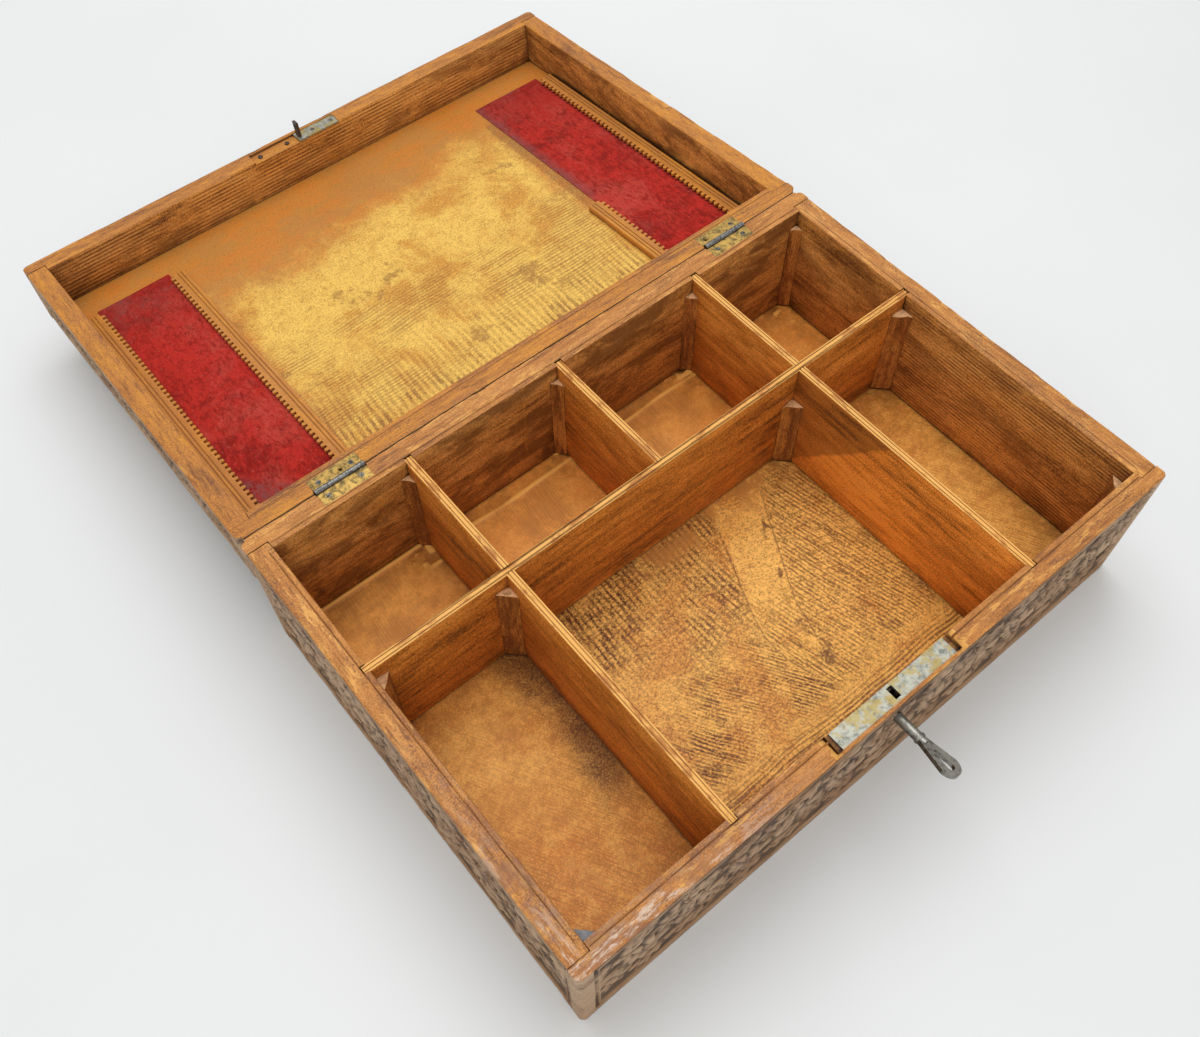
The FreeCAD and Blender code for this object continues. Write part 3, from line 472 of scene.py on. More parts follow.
def golden_floor(finish, looks):
    """Floor of the middle cell, scraped in crossing strokes, and the mask of the strokes."""
    x, y = finish.place.part(X), finish.place.part(Y)
    rub = finish.spot.noise(30.0, 6.0, 0.68, 0.4)
    grit = finish.spot.noise(900.0, 3.0, 0.75)
    golden = mixed(rub.rise(0.38, 0.56), opaque(looks.floor_mid), opaque(looks.floor_pale))
    zero = y * 0.0
    low = zero.larger(-0.03 - y)
    wander = finish.spot.noise(60.0, 3.0) * (2 * MM)
    left_track = x - y * 0.42 - 0.023 - low * low * 8.6 + wander
    right_track = x - y * 0.54 - 0.055 - zero.larger(-0.04 - y) * 0.26 + wander
    left_half = left_track.fall(-2 * MM, 3 * MM)
    right_half = right_track.rise(-2 * MM, 3 * MM)
    between = (1 - left_half) * (1 - right_half)
    upper = (y + rub * 0.08).rise(-0.02, 0.03)
    combs = finish.strokes(90.0, 1.8 * MM, 14 * MM, 0.46, 0.54, 0.12) * left_half * upper
    rows = finish.strokes(2.0, 1.3 * MM, 12 * MM, 0.48, 0.54, 0.04) * left_half * (0.4 + upper * 0.6)
    slant = finish.strokes(-57.0, 1.0 * MM, 24 * MM, 0.45, 0.53, 0.08) * left_half * (1 - upper)
    right = finish.strokes(-77.0, 1.2 * MM, 26 * MM, 0.48, 0.55, 0.07)
    right = right * (right_half + between * y.fall(-0.06, -0.01))
    across = finish.strokes(-22.0, 1.1 * MM, 12 * MM, 0.51, 0.58) * (right_half + between * 0.5)
    front = finish.strokes(0.0, 1.2 * MM, 40 * MM, 0.46, 0.54, 0.08) * y.fall(-0.104, -0.09)
    dense = finish.blotch(20.0, 8.0, 0.75, 0.4, 0.54)
    strokes = combs.larger(rows * 0.7).larger(slant).larger(right * 0.8).larger(across * 0.6)
    broken = finish.blotch(380.0, 4.0, 0.7, 0.36, 0.48)
    strokes = strokes * y.rise(-0.1, -0.085) * (0.35 + dense * 0.65) * (0.35 + broken * 0.65)
    groove, shoulder, soft = (0.0, 1 * MM), (-2.2 * MM, -0.6 * MM), 0.5 * MM
    tracks = left_track.band(*groove, soft).larger(right_track.band(*groove, soft))
    shoulders = left_track.band(*shoulder, soft).larger(right_track.band(*shoulder, soft))
    blots = right_track.band(-6 * MM, 4 * MM, 3 * MM) * finish.blotch(75.0, 6.0, 0.72, 0.52, 0.58)
    held = y.band(-0.085, 0.02, 12 * MM)
    strokes = strokes.larger(front * 0.8).larger(tracks * held * 0.8).larger(blots * held * 0.9)
    golden = golden.under(shoulders * held * 0.6, looks.floor_pale, 1.1)
    golden = golden.under(finish.blotch(140.0, 6.0, 0.75, 0.5, 0.6) * 0.4, looks.wall_mid)
    golden = golden.under(strokes, looks.floor_deep, 0.9)
    golden = golden.under(grit.fall(0.4, 0.47) * 0.6, looks.floor_deep, 1.6)
    golden = golden.under(grit.rise(0.53, 0.62) * 0.6, looks.floor_pale, 1.15)
    far = (y + rub * 0.05).rise(0.035, 0.055) * (x + rub * 0.06).rise(-0.01, 0.03)
    far = far.larger((x + y * 1.4 + rub * 0.06).rise(0.135, 0.15))
    stain = finish.blotch(60.0, 7.0, 0.75, 0.42, 0.56)
    return mixed(far * stain * 0.85, golden, opaque(looks.wall_mid)), strokes


def floor_wood(name, looks):
    """The bottom board: golden in the middle cell, browner in the others."""
    finish = Finish(name)
    x, y = finish.place.part(X), finish.place.part(Y)
    plain = plain_floor(finish, looks)
    golden, strokes = golden_floor(finish, looks)
    middle = abs(x).fall(side_x - MM, side_x + MM) * y.fall(divider_low.y, divider_high.y)
    colour = mixed(middle, plain, golden)
    # Painted shade: blotchy darkening in the corners of the cells, weaker in the middle cell.
    blotchy_shade = finish.corner_shade(30 * MM) * finish.blotch(38.0, 6.0, 0.72, 0.4, 0.58)
    colour = colour.under(blotchy_shade * (1 - middle * 0.4) * 0.9, looks.wall_stain_and_shade)
    raised = finish.noted("raised")
    # Lighter on the ridge, the glue lumps and the lip: partly lighter wood and glue, partly a painted
    # highlight.
    colour = colour.under(raised.rise(0.15, 0.6) * 0.75, looks.floor_pale, 1.15)
    # Painted shade along the creases, kept off the raised places.
    colour = colour.under(finish.crease(3 * MM) * (1 - raised) * 0.85, looks.wall_stain_and_shade, 0.3)
    height = finish.spot.noise(900.0, 3.0, 0.7) * 0.4 + (1 - strokes * middle) * 0.6
    roughness = 0.42 + finish.spot.noise(30.0) * 0.2
    return finish.close(colour, roughness, height, 0.5, 0.3 * MM, **DULL)


def panel_wood(name, looks):
    """The golden panel inside the lid, with dark tooth marks and ripples near the hinges; the ripples are
    painted shade in their troughs and a painted highlight on their crests.
    """
    finish = Finish(name)
    x, y = finish.place.part(X), finish.place.part(Y)
    from_hinge = y - hinge_place.y
    grit = finish.spot.noise(1000.0, 3.0, 0.75)
    cloud = finish.spot.noise(22.0, 7.0, 0.7, 0.4)
    base = mixed(cloud.rise(0.38, 0.54), opaque(looks.panel_mid), opaque(looks.panel_pale))
    ragged = finish.spot.noise(26.0, 7.0, 0.72) * 0.1
    far = (from_hinge + ragged - x * 0.08).rise(0.212, 0.262)
    side = (abs(x + 1.0 * MM) + ragged * 0.5).rise(0.124, 0.14)
    bare = (x + ragged * 0.3).rise(0.118, 0.132) * from_hinge.rise(0.088, 0.098)
    rust = finish.spot.stretched((0.5, 1.0, 1.0)).noise(48.0, 7.0, 0.74).rise(0.42, 0.58)
    brown = mixed(rust, opaque(looks.wall_mid, 0.85), opaque(looks.divider_mid))
    colour = mixed(far.larger(side).larger(bare) * 0.95, base, brown)
    mottle = finish.blotch(130.0, 6.0, 0.78, 0.48, 0.6)
    colour = colour.under(mottle * 0.4, looks.panel_mid, 0.8)
    ripple = finish.strokes(86.0, 2.05 * MM, 50 * MM, 0.43, 0.58, 0.13)
    drawn = finish.spot.stretched((1.0, 0.3, 1.0)).noise(42.0, 6.0, 0.68)
    inside = abs(x + 5 * MM).fall(0.105, 0.12)
    near = (from_hinge + drawn * 0.12).fall(0.11, 0.17)
    held = near * drawn.rise(0.34, 0.5) * inside
    tooth = finish.blotch(80.0, 6.0, 0.72, 0.49, 0.56) * (from_hinge + drawn * 0.09).fall(0.07, 0.12)
    combs = ripple * held * (0.25 + tooth * 0.75)
    lines = finish.strokes(0.6, 1.2 * MM, 90 * MM, 0.46, 0.58, 0.12)
    lines = lines * finish.blotch(15.0, 6.0, 0.68, 0.42, 0.56) * from_hinge.band(0.045, 0.12, 15 * MM) * inside
    # Painted highlight on the crests between the ripples.
    colour = colour.under((1 - ripple) * held * 0.4, looks.panel_pale, 1.12)
    # Dark tooth marks, and painted shade in the troughs of the ripples.
    colour = colour.under(combs * (0.55 + grit * 0.6), looks.floor_deep, 1.2)
    colour = colour.under(lines * (0.35 + grit * 0.4), looks.floor_deep, 1.3)
    stains = finish.spot.shifted((0.0, 0.0, 0.9)).noise(26.0, 8.0, 0.72).rise(0.57, 0.63)
    colour = colour.under(stains * (1 - far) * 0.7, looks.panel_stain)
    colour = colour.under(grit.fall(0.4, 0.48) * 0.6, looks.panel_stain)
    colour = colour.under(grit.rise(0.53, 0.62) * (1 - far) * 0.45, looks.panel_pale, 1.1)
    ghost = x.band(0.1095, 0.1165, 1 * MM) * from_hinge.band(0.098, 0.21, 4 * MM)
    colour = colour.under(ghost * 0.35, looks.floor_deep)
    # Painted shade: blotchy darkening in the corners of the lid.
    blotchy_shade = finish.corner_shade(14 * MM) * finish.blotch(60.0, 5.0, 0.7, 0.36, 0.56)
    colour = colour.under(blotchy_shade * 0.7, looks.wall_mid, 0.8)
    # Painted shade along the creases.
    colour = colour.under(finish.crease(2.5 * MM) * 0.75, looks.wall_stain_and_shade, 0.5)
    roughness = 0.38 + cloud * 0.25
    height = grit * 0.4 + (1 - combs) * 0.6
    return finish.close(colour, roughness, height, 0.4, 0.25 * MM, **DULL)


def divider_wood(name, along, looks, offset=0.0, share=1.0, stained=False):
    """Stained divider with a rubbed top edge, a painted highlight along its crest, painted shade in its two
    grooves and corners, and perhaps a slanting stain.
    """
    finish = Finish(name, offset)
    pale, mid = ([part * share for part in tone] for tone in (looks.divider_pale, looks.divider_mid))
    colour, height, patches, _ = wood_tones(finish, along, pale, mid, looks.wall_stain_and_shade, 22.0)
    drawn = finish.spot.stretched(tuple(part ** 0.4 for part in along))
    colour = colour.under(drawn.noise(50.0, 7.0, 0.7, 0.6).rise(0.52, 0.68) * 0.35, looks.wall_stain_and_shade)
    if stained:
        slant = finish.place.part(Y) * 1.26 + finish.place.part(Z) + finish.spot.noise(30.0, 5.0, 0.65) * 0.012
        colour = colour.under(slant.rise(0.054, 0.058) * 0.5, looks.wall_stain_and_shade)
    # Painted shade: blotchy darkening in the corners.
    blotchy_shade = finish.corner_shade(24 * MM) * finish.blotch(60.0, 5.0, 0.7, 0.4, 0.6)
    colour = colour.under(blotchy_shade * 0.6, looks.wall_stain_and_shade, 0.7)
    top = finish.upward()
    rubbed = mixed(drawn.noise(160.0, 6.0, 0.7).rise(0.4, 0.5), opaque(looks.rim_mid), opaque(looks.edge_pale))
    colour = mixed(top * 0.9, colour, rubbed)
    # Painted highlight along the rounded crest just below the top edge.
    crest = finish.place.part(Z).rise(rim_z - 2.2 * MM, rim_z - 1.2 * MM) * (1 - top)
    colour = colour.under(crest * 0.5, looks.rim_pale)
    # Painted shade in the two grooves and along the creases.
    colour = colour.under(finish.crease(0.9 * MM) * 0.6, looks.wall_stain_and_shade)
    roughness = 0.4 + patches * 0.25
    return finish.close(colour, roughness, height, 0.4, 0.25 * MM, **DULL)


def block_wood(name, looks, bare):
    """Dark glue blocks whose sawn tops are bare or painted."""
    finish = Finish(name)
    colour, height, patches, _ = wood_tones(finish, ALONG_Z, looks.wall_mid, looks.block, looks.wall_stain_and_shade, 60.0)
    top = finish.upward()
    sawn = mixed(finish.blotch(420.0, 5.0, 0.7, 0.36, 0.52), opaque(bare, 0.6), opaque(bare))
    colour = mixed(top, colour, sawn)
    # Painted shade along the creases of the block's sides.
    colour = colour.under(finish.crease(2.5 * MM) * (1 - top) * 0.9, looks.wall_stain_and_shade, 0.15)
    roughness = 0.5 + patches * 0.2
    return finish.close(colour, roughness, height, 0.5, 0.3 * MM, **DULL)


def strip_wood(name, looks):
    """Golden moulded strips with painted shade between the teeth."""
    finish = Finish(name)
    tones = looks.rim_golden, looks.rim_mid, looks.wall_mid
    colour, height, patches, _ = wood_tones(finish, ALONG_Y, *tones, 36.0, 620.0, 0.4)
    # Painted shade between the teeth and along the creases.
    colour = colour.under(finish.corner_shade(2.5 * MM) * 0.7, looks.wall_stain_and_shade, 0.8)
    colour = colour.under(finish.crease(1.2 * MM) * 0.7, looks.wall_stain_and_shade, 0.6)
    roughness = 0.42 + patches * 0.25
    return finish.close(colour, roughness, height, 0.4, 0.25 * MM, **DULL)


def velvet_cloth(name, looks, offset=0.0, worn_edge=None, frayed_edge=None):
    """Crimson pile, dusty in places, with a worn diagonal band across one corner or one frayed edge."""
    finish = Finish(name, offset)
    x, from_hinge = finish.place.part(X), finish.place.part(Y) - hinge_place.y
    pile = finish.spot.noise(2100.0, 3.0, 0.7)
    brushed = finish.spot.stretched((1.0, 0.4, 1.0)).noise(480.0, 5.0, 0.72)
    lean = finish.spot.noise(42.0, 8.0, 0.76, 0.5)
    tone = lean * 0.45 + brushed * 0.35 + pile * 0.2
    colour = mixed(tone.rise(0.42, 0.56), opaque(looks.velvet_deep), opaque(looks.velvet))
    haze = finish.spot.stretched((1.0, 0.6, 1.0)).noise(22.0, 8.0, 0.74, 0.3).rise(0.46, 0.64)
    haze = haze * brushed.rise(0.3, 0.6)
    colour = colour.under(haze * 0.16, looks.velvet_worn)
    far_end = (from_hinge + lean * 0.05).rise(0.2, 0.26)
    colour = colour.under(far_end * 0.45, looks.velvet_deep, 0.75)
    thin = finish.blotch(30.0, 8.0, 0.8, 0.5, 0.62) * far_end * 0.6
    if frayed_edge:
        fray = (x - frayed_edge + finish.spot.noise(45.0, 6.0, 0.75) * 0.016).fall(0.008, 0.016)
        thin = thin.larger(fray * from_hinge.rise(0.09, 0.12) * brushed.rise(0.32, 0.5) * 0.8)
    if worn_edge:
        slant = from_hinge + (x - worn_edge) + finish.spot.noise(30.0, 6.0, 0.7) * 0.04
        colour = colour.under(slant.fall(0.045, 0.06) * 0.8, looks.velvet_deep, 0.7)
        thin = thin.larger(slant.band(0.05, 0.076, 6 * MM) * brushed.rise(0.36, 0.56) * 0.85)
    colour = colour.under(thin, looks.velvet_bare)
    specks = finish.blotch(620.0, 4.0, 0.7, 0.6, 0.68)
    colour = colour.under(specks * 0.3, looks.velvet_worn)
    colour = colour.under(pile.fall(0.36, 0.52) * 0.55, looks.velvet_deep, 0.7)
    # Painted shade along the edges of the pad, beside the strips.
    edge = finish.corner_shade(9 * MM) * brushed.rise(0.3, 0.5)
    colour = colour.under(edge * 0.8, looks.velvet_deep, 0.45)
    roughness = 0.85 + lean * 0.1
    return finish.close(
        colour, roughness, pile * 0.6 + brushed * 0.4, 0.9, 0.6 * MM,
        Sheen_Weight=0.3, Sheen_Roughness=0.5, Sheen_Tint=opaque(looks.velvet_worn), Specular_IOR_Level=0.1,
    )


def metal(name, clean, tarnish, third=None, patch=260.0, rough=(0.3, 0.55), metallic=1.0, amount=0.5):
    """Worn metal: clean colour, tarnish in blotches, and a third tone here and there."""
    finish = Finish(name)
    blotch = finish.spot.noise(patch, 7.0, 0.72, 0.4)
    colour = mixed(blotch.rise(0.5 - amount * 0.2, 0.74 - amount * 0.2), opaque(clean), opaque(tarnish))
    if third:
        second = finish.spot.shifted((0.3, 0.1, 0.7)).noise(patch * 0.5, 6.0, 0.68).rise(0.46, 0.58)
        colour = colour.under(second * 0.75, third)
    pits = finish.spot.noise(1600.0, 3.0, 0.7)
    colour = colour.under(pits.rise(0.54, 0.66) * 0.4, tarnish, 0.7)
    colour = colour.under(finish.crease(1.2 * MM) * 0.7, tarnish, 0.35)
    scratches = finish.spot.stretched(ALONG_X).noise(3000.0, 2.0)
    roughness = rough[0] + blotch * (rough[1] - rough[0])
    height = blotch * 0.4 + scratches * 0.3 + pits * 0.3
    return finish.close(colour, roughness, height, 0.35, 0.15 * MM, Metallic=metallic)


def lattice_noise(points, cell, seed):
    """Smooth noise from -1 to 1 at each point."""
    scaled = points / cell + seed * 7.31
    low = np.floor(scaled).astype(np.int64)
    part = scaled - low
    part = part * part * (3 - 2 * part)
    total = np.zeros(len(points))
    for corner in range(8):
        step = np.array([corner & 1, corner >> 1 & 1, corner >> 2 & 1])
        key = ((low + step) * (73856093, 19349663, 83492791)).sum(1) + seed * 2654435
        key = (key ^ (key >> 13)) * 1274126177 & 0x7FFFFFFF
        key = (key ^ (key >> 15)) * 1911520717 & 0x7FFFFFFF
        total += (key / 0x3FFFFFFF - 1) * np.prod(np.where(step, part, 1 - part), axis=1)
    return total


def flat_copy(node, turn=None):
    """A node's mesh with its triangles joined into flat faces."""
    bm = bmesh.new()
    bm.from_mesh(nodes[node].data)
    bmesh.ops.remove_doubles(bm, verts=bm.verts[:], dist=0.002 * MM)
    bmesh.ops.dissolve_limit(bm, angle_limit=math.radians(0.4), verts=bm.verts[:], edges=bm.edges[:])
    if turn:
        bm.transform(turn)
    return bm


def soften(bm, width, shortest, segments=2):
    """Rounds the outward edges that are long enough to wear."""
    bm.normal_update()
    worn = [
        edge for edge in bm.edges
        if len(edge.link_faces) == 2 and edge.is_convex
        and edge.calc_face_angle() > math.radians(30) and edge.calc_length() > shortest
    ]
    bmesh.ops.bevel(
        bm, geom=worn, offset=width, offset_type="OFFSET", segments=segments, profile=0.5,
        affect="EDGES", clamp_overlap=True,
    )


def slice_faces(bm, faces, axis, places):
    """Cuts faces at each place along an axis, halving the list each time."""
    if not places or not faces:
        return faces
    middle = len(places) // 2
    point, direction = [0.0, 0.0, 0.0], [0.0, 0.0, 0.0]
    point[axis], direction[axis] = places[middle], 1.0
    around = set(faces)
    for face in faces:
        around.update(face.edges)
        around.update(face.verts)
    cut = bmesh.ops.bisect_plane(bm, geom=list(around), dist=1e-6 * MM, plane_co=point, plane_no=direction)
    made = [item for item in cut["geom"] if isinstance(item, bmesh.types.BMFace)]
    low = [face for face in made if face.calc_center_median()[axis] < places[middle]]
    high = [face for face in made if face.calc_center_median()[axis] >= places[middle]]
    return slice_faces(bm, low, axis, places[:middle]) + slice_faces(bm, high, axis, places[middle + 1:])


def finish_piece(bm, name, body, materials, stands_for, turn=None):
    """Turns worked faces into a piece of the object that stands for its nodes."""
    if turn:
        bm.transform(turn)
    bm.normal_update()
    for face in bm.faces:
        face.smooth = True
    for edge in bm.edges:
        if len(edge.link_faces) != 2 or edge.calc_face_angle() > math.radians(38):
            edge.smooth = False
    mesh = bpy.data.meshes.new(name)
    bm.to_mesh(mesh)
    bm.free()
    for material in materials:
        mesh.materials.append(material)
    piece = bpy.data.objects.new(name, mesh)
    bpy.context.scene.collection.objects.link(piece)
    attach(piece, body)
    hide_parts(*stands_for)
    return piece


def leaf_relief(u, v, foot, aim, length, width, lobes):
    """How high one carved leaf stands at each point, from 0 to 1, and the points that it takes up."""
    du, dv = u - foot[0], v - foot[1]
    along = (du * math.cos(aim) + dv * math.sin(aim)) / length
    bend = along * along * 0.35
    across = (dv * math.cos(aim) - du * math.sin(aim)) / width - bend
    inside = (along > 0) & (along < 1)
    share = np.clip(along, 0.001, 0.999)
    half = 0.5 * np.sin(np.pi * share ** 0.75) ** 0.8 * (1 + 0.2 * np.cos(2 * np.pi * lobes * share))
    out = np.abs(across) / np.maximum(half, 0.02)
    body = np.clip((1 - out) * 3, 0, 1) * inside
    vein = 0.65 * np.exp(-((across * width / (1.1 * MM)) ** 2))
    ribs = 0.5 + 0.5 * np.cos(2 * np.pi * (lobes * share - 1.2 * np.abs(across)))
    ribs = 0.45 * ribs ** 2 * np.clip(out * 2, 0, 1)
    taken = inside & (np.abs(across) * width < half * width + 1.2 * MM)
    return body * np.clip(1 - 0.25 * out ** 2 - vein - ribs, 0.1, 1), taken


def flower_relief(u, v, centre, radius, petals):
    """A round flower with a raised heart, and the points that it takes up."""
    du, dv = u - centre[0], v - centre[1]
    out = np.hypot(du, dv) / radius
    angle = np.arctan2(dv, du)
    edge = 0.8 + 0.2 * np.cos(petals * angle)
    body = np.clip((edge - out) * 5, 0, 1)
    groove = 0.5 * (0.5 - 0.5 * np.cos(petals * angle)) * np.clip(out * 3 - 0.8, 0, 1)
    heart = np.clip(1 - (out / 0.28) ** 2, 0, 1)
    return np.maximum(body * np.clip(0.9 - groove - 0.25 * out, 0.1, 1) * (out > 0.3), heart), out < edge + 0.12


def scroll_relief(u, v, half_run, height, pitch):
    """A waving stem with leaves and flowers that fills a band from 0 to height."""
    swing = height * 0.24
    middle = height / 2
    phase = 2 * np.pi * u / pitch
    stem_v = middle + swing * np.sin(phase)
    slope = swing * 2 * np.pi / pitch * np.cos(phase)
    away = np.abs(v - stem_v) / np.sqrt(1 + slope ** 2)
    relief = np.clip(1.4 - (away / (1.7 * MM)) ** 2, 0, 0.9)
    count = int(half_run / (pitch / 2)) + 1
    forms = []
    for index in range(-count, count + 1):
        crest = pitch / 4 + index * pitch / 2
        side = 1 if index % 2 == 0 else -1
        leaves = (
            (-0.2, 0.4, -side * 0.9, 0.62, 0.3, 4), (0.05, 1.0, side * 0.5, 0.34, 0.22, 3),
            (-0.02, 1.0, math.pi - side * 0.55, 0.3, 0.18, 3), (0.12, 0.7, -side * 1.25, 0.5, 0.22, 4),
        )
        for shift, lift, aim, length, width, lobes in leaves:
            foot = (crest + pitch * shift, middle + side * swing * lift)
            forms.append(leaf_relief(u, v, foot, aim, height * length, height * width, lobes))
        forms.append(flower_relief(u, v, (crest, middle - side * swing * 0.75), height * 0.15, 6))
    for form, taken in forms:
        relief = np.where(taken, form, relief)
    return relief


def carve(bm, faces, run, rise, normal, box, sizes, step, pitch):
    """Sinks the ground of a carved face and notes the depth at each point."""
    (run_low, run_high), (rise_low, rise_high) = box
    run_places = [run_low + step * i for i in range(int((run_high - run_low) / step) + 1)]
    rise_places = [rise_low + step * i for i in range(int((rise_high - rise_low) / step) + 1)]
    faces = slice_faces(bm, slice_faces(bm, faces, run, run_places), rise, rise_places)
    layer = point_layer(bm, "carved")
    points = list({vertex for face in faces for vertex in face.verts})
    place = np.array([vertex.co for vertex in points])
    u = place[:, run] - (run_low + run_high) / 2
    v = place[:, rise] - rise_low
    half_run, height = (run_high - run_low) / 2, rise_high - rise_low
    edge = np.minimum(half_run - np.abs(u), np.minimum(v, height - v))
    inside = np.clip(edge / (1.2 * MM), 0, 1)
    relief = scroll_relief(u, v, half_run, height, pitch)
    rough = lattice_noise(place, 2.6 * MM, sizes.carving_seed) * 0.1
    rough += lattice_noise(place, 9 * MM, sizes.carving_seed + 1) * 0.08
    groove = 0.7 * np.exp(-(((edge - 1.4 * MM) / (0.9 * MM)) ** 2))
    frame_line = np.clip(1.2 - np.abs(edge - 3.2 * MM) / (1.0 * MM), 0, 1)
    relief = np.maximum(relief, frame_line * 0.9)
    depth = np.clip(inside * np.maximum(1 - relief, groove) + inside * rough, 0, 1.15)
    for vertex, sunk in zip(points, depth):
        vertex.co -= normal * (sunk * sizes.carving_depth)
        vertex[layer] = min(sunk, 1.0)


def worn_board(node, outward, along, sizes, turn=None, rim_side=1):
    """One of the eight carved boards, as a mesh in the box's closed frame."""
    bm = flat_copy(node, turn)
    soften(bm, sizes.edge_wear, 5 * MM, 3)
    side, sign = outward
    outer = half_depth if side == Y else half_length
    normal = Vector((0, 0, 0))
    normal[side] = sign
    coarse = sizes.carving_step * 3
    reach = half_length if along == X else half_depth
    steps = int(reach / coarse)
    slice_faces(bm, bm.faces[:], along, [coarse * i for i in range(-steps, steps + 1)])
    low_z = min(vertex.co.z for vertex in bm.verts)
    high_z = max(vertex.co.z for vertex in bm.verts)
    rim = high_z if rim_side > 0 else low_z
    if node.startswith("base") or node == "lid_back_board":
        scribe(bm, side, sign, along, rim, rim_side, sizes)
    if node == "base_front_board":
        chip_lock_ends(bm, rim)
    outers = [
        face for face in bm.faces
        if face.normal.dot(normal) > 0.99 and abs(abs(face.calc_center_median()[side]) - outer) < 0.1 * MM
    ]
    run_reach = reach - sizes.plain_corner
    box = ((-run_reach, run_reach), (low_z + sizes.plain_edge, high_z - sizes.plain_edge))
    tall = high_z - low_z > 60 * MM
    pitch = sizes.scroll_pitch if tall else sizes.scroll_pitch * 0.6
    carve(bm, outers, along, Z, normal, box, sizes, sizes.carving_step, pitch)
    bm.normal_update()
    wear_edges(bm, side, outer, rim)
    for face in bm.faces:
        middle = face.calc_center_median()
        out = face.normal.dot(normal)
        if out > 0.35 and abs(middle[side]) > outer - 3 * MM and abs(middle.z - rim) > 0.6 * MM:
            face.material_index = 0
        elif abs(middle.z - rim) < 2.2 * MM and face.normal.z * rim_side > 0.2:
            face.material_index = 1
        elif abs(middle[along]) > reach - (6 if abs(face.normal[along]) > 0.5 else 4) * MM:
            face.material_index = 0
        else:
            face.material_index = 2
    return bm


def point_layer(bm, name):
    """A value held at each point, for the finishes to read."""
    return bm.verts.layers.float.get(name) or bm.verts.layers.float.new(name)


def flat_faces(bm, height, side=1):
    """The level faces at one height that look up, or down where side is -1."""
    bm.normal_update()
    return [
        face for face in bm.faces
        if face.normal.z * side > 0.99 and abs(face.calc_center_median().z - height) < 0.1 * MM
    ]


def scribe(bm, side, sign, along, rim, rim_side, sizes):
    """A gauge line along the rim, from one inner corner to the other."""
    gauge = (inner_y if side == Y else inner_x) + sizes.gauge_inset
    lines = sorted(sign * (gauge + shift * MM) for shift in (-0.7, -0.35, 0.0, 0.35, 0.7))
    rims = slice_faces(bm, flat_faces(bm, rim, rim_side), side, lines)
    layer = point_layer(bm, "scribed")
    inner_reach = inner_x if along == X else inner_y
    for vertex in {vertex for face in rims for vertex in face.verts}:
        if abs(vertex.co[along]) < inner_reach:
            away = (abs(vertex.co[side]) - gauge) / (0.3 * MM)
            vertex[layer] = math.exp(-away * away)
            vertex.co.z -= rim_side * sizes.gauge_depth * vertex[layer]


def chip_lock_ends(bm, rim):
    """Breaks the rim beside both ends of the lock's recess."""
    plate_low, plate_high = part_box("lock_plate")
    layer = point_layer(bm, "chipped")
    for end, way in ((plate_low.x - 3 * MM, -1), (plate_high.x + 3 * MM, 1)):
        near = [face for face in flat_faces(bm, rim) if abs(face.calc_center_median().x - end) < 6 * MM]
        places = sorted(end + way * 0.7 * MM * i for i in range(1, 8))
        near = slice_faces(bm, near, X, places)
        near = slice_faces(bm, near, Y, [-half_depth + 0.8 * MM * i for i in range(1, 14)])
        points = list({vertex for face in near for vertex in face.verts})
        place = np.array([vertex.co for vertex in points])
        reach = (3.2 + 2.4 * lattice_noise(place * (0, 1, 0), 3 * MM, 31)) * MM
        away = (place[:, X] - end) * way
        for vertex, gap, limit in zip(points, away, reach):
            if -0.1 * MM < gap < limit:
                vertex.co.z -= 2.2 * MM * (1 - gap / limit) + 0.3 * MM
                vertex[layer] = 1.0


def wear_edges(bm, side, outer, rim):
    """Small dents along the outer edge of the rim and a foot that waves a little."""
    layer = point_layer(bm, "chipped")
    points = [
        vertex for vertex in bm.verts
        if abs(vertex.co[side]) > outer - 1.6 * MM
        and (abs(vertex.co.z - rim) < 1.6 * MM or vertex.co.z < 1.6 * MM or vertex.co.z > lid_top_z - 1.6 * MM)
    ]
    place = np.array([vertex.co for vertex in points])
    dent = np.clip(lattice_noise(place, 7 * MM, 11) * 1.2, 0, 1) ** 1.5 * 0.6
    dent += np.clip(lattice_noise(place, 22 * MM, 12), 0, 1) * 0.45
    for vertex, amount in zip(points, dent):
        vertex.co -= vertex.normal * (amount * MM)
        vertex[layer] = max(vertex[layer], min(amount * 1.3, 1.0))


SIDES = (("front", Y, -1, X), ("back", Y, 1, X), ("left", X, -1, Y), ("right", X, 1, Y))


def settings(context):
    return context.scene.box_sizes, context.scene.box_colours


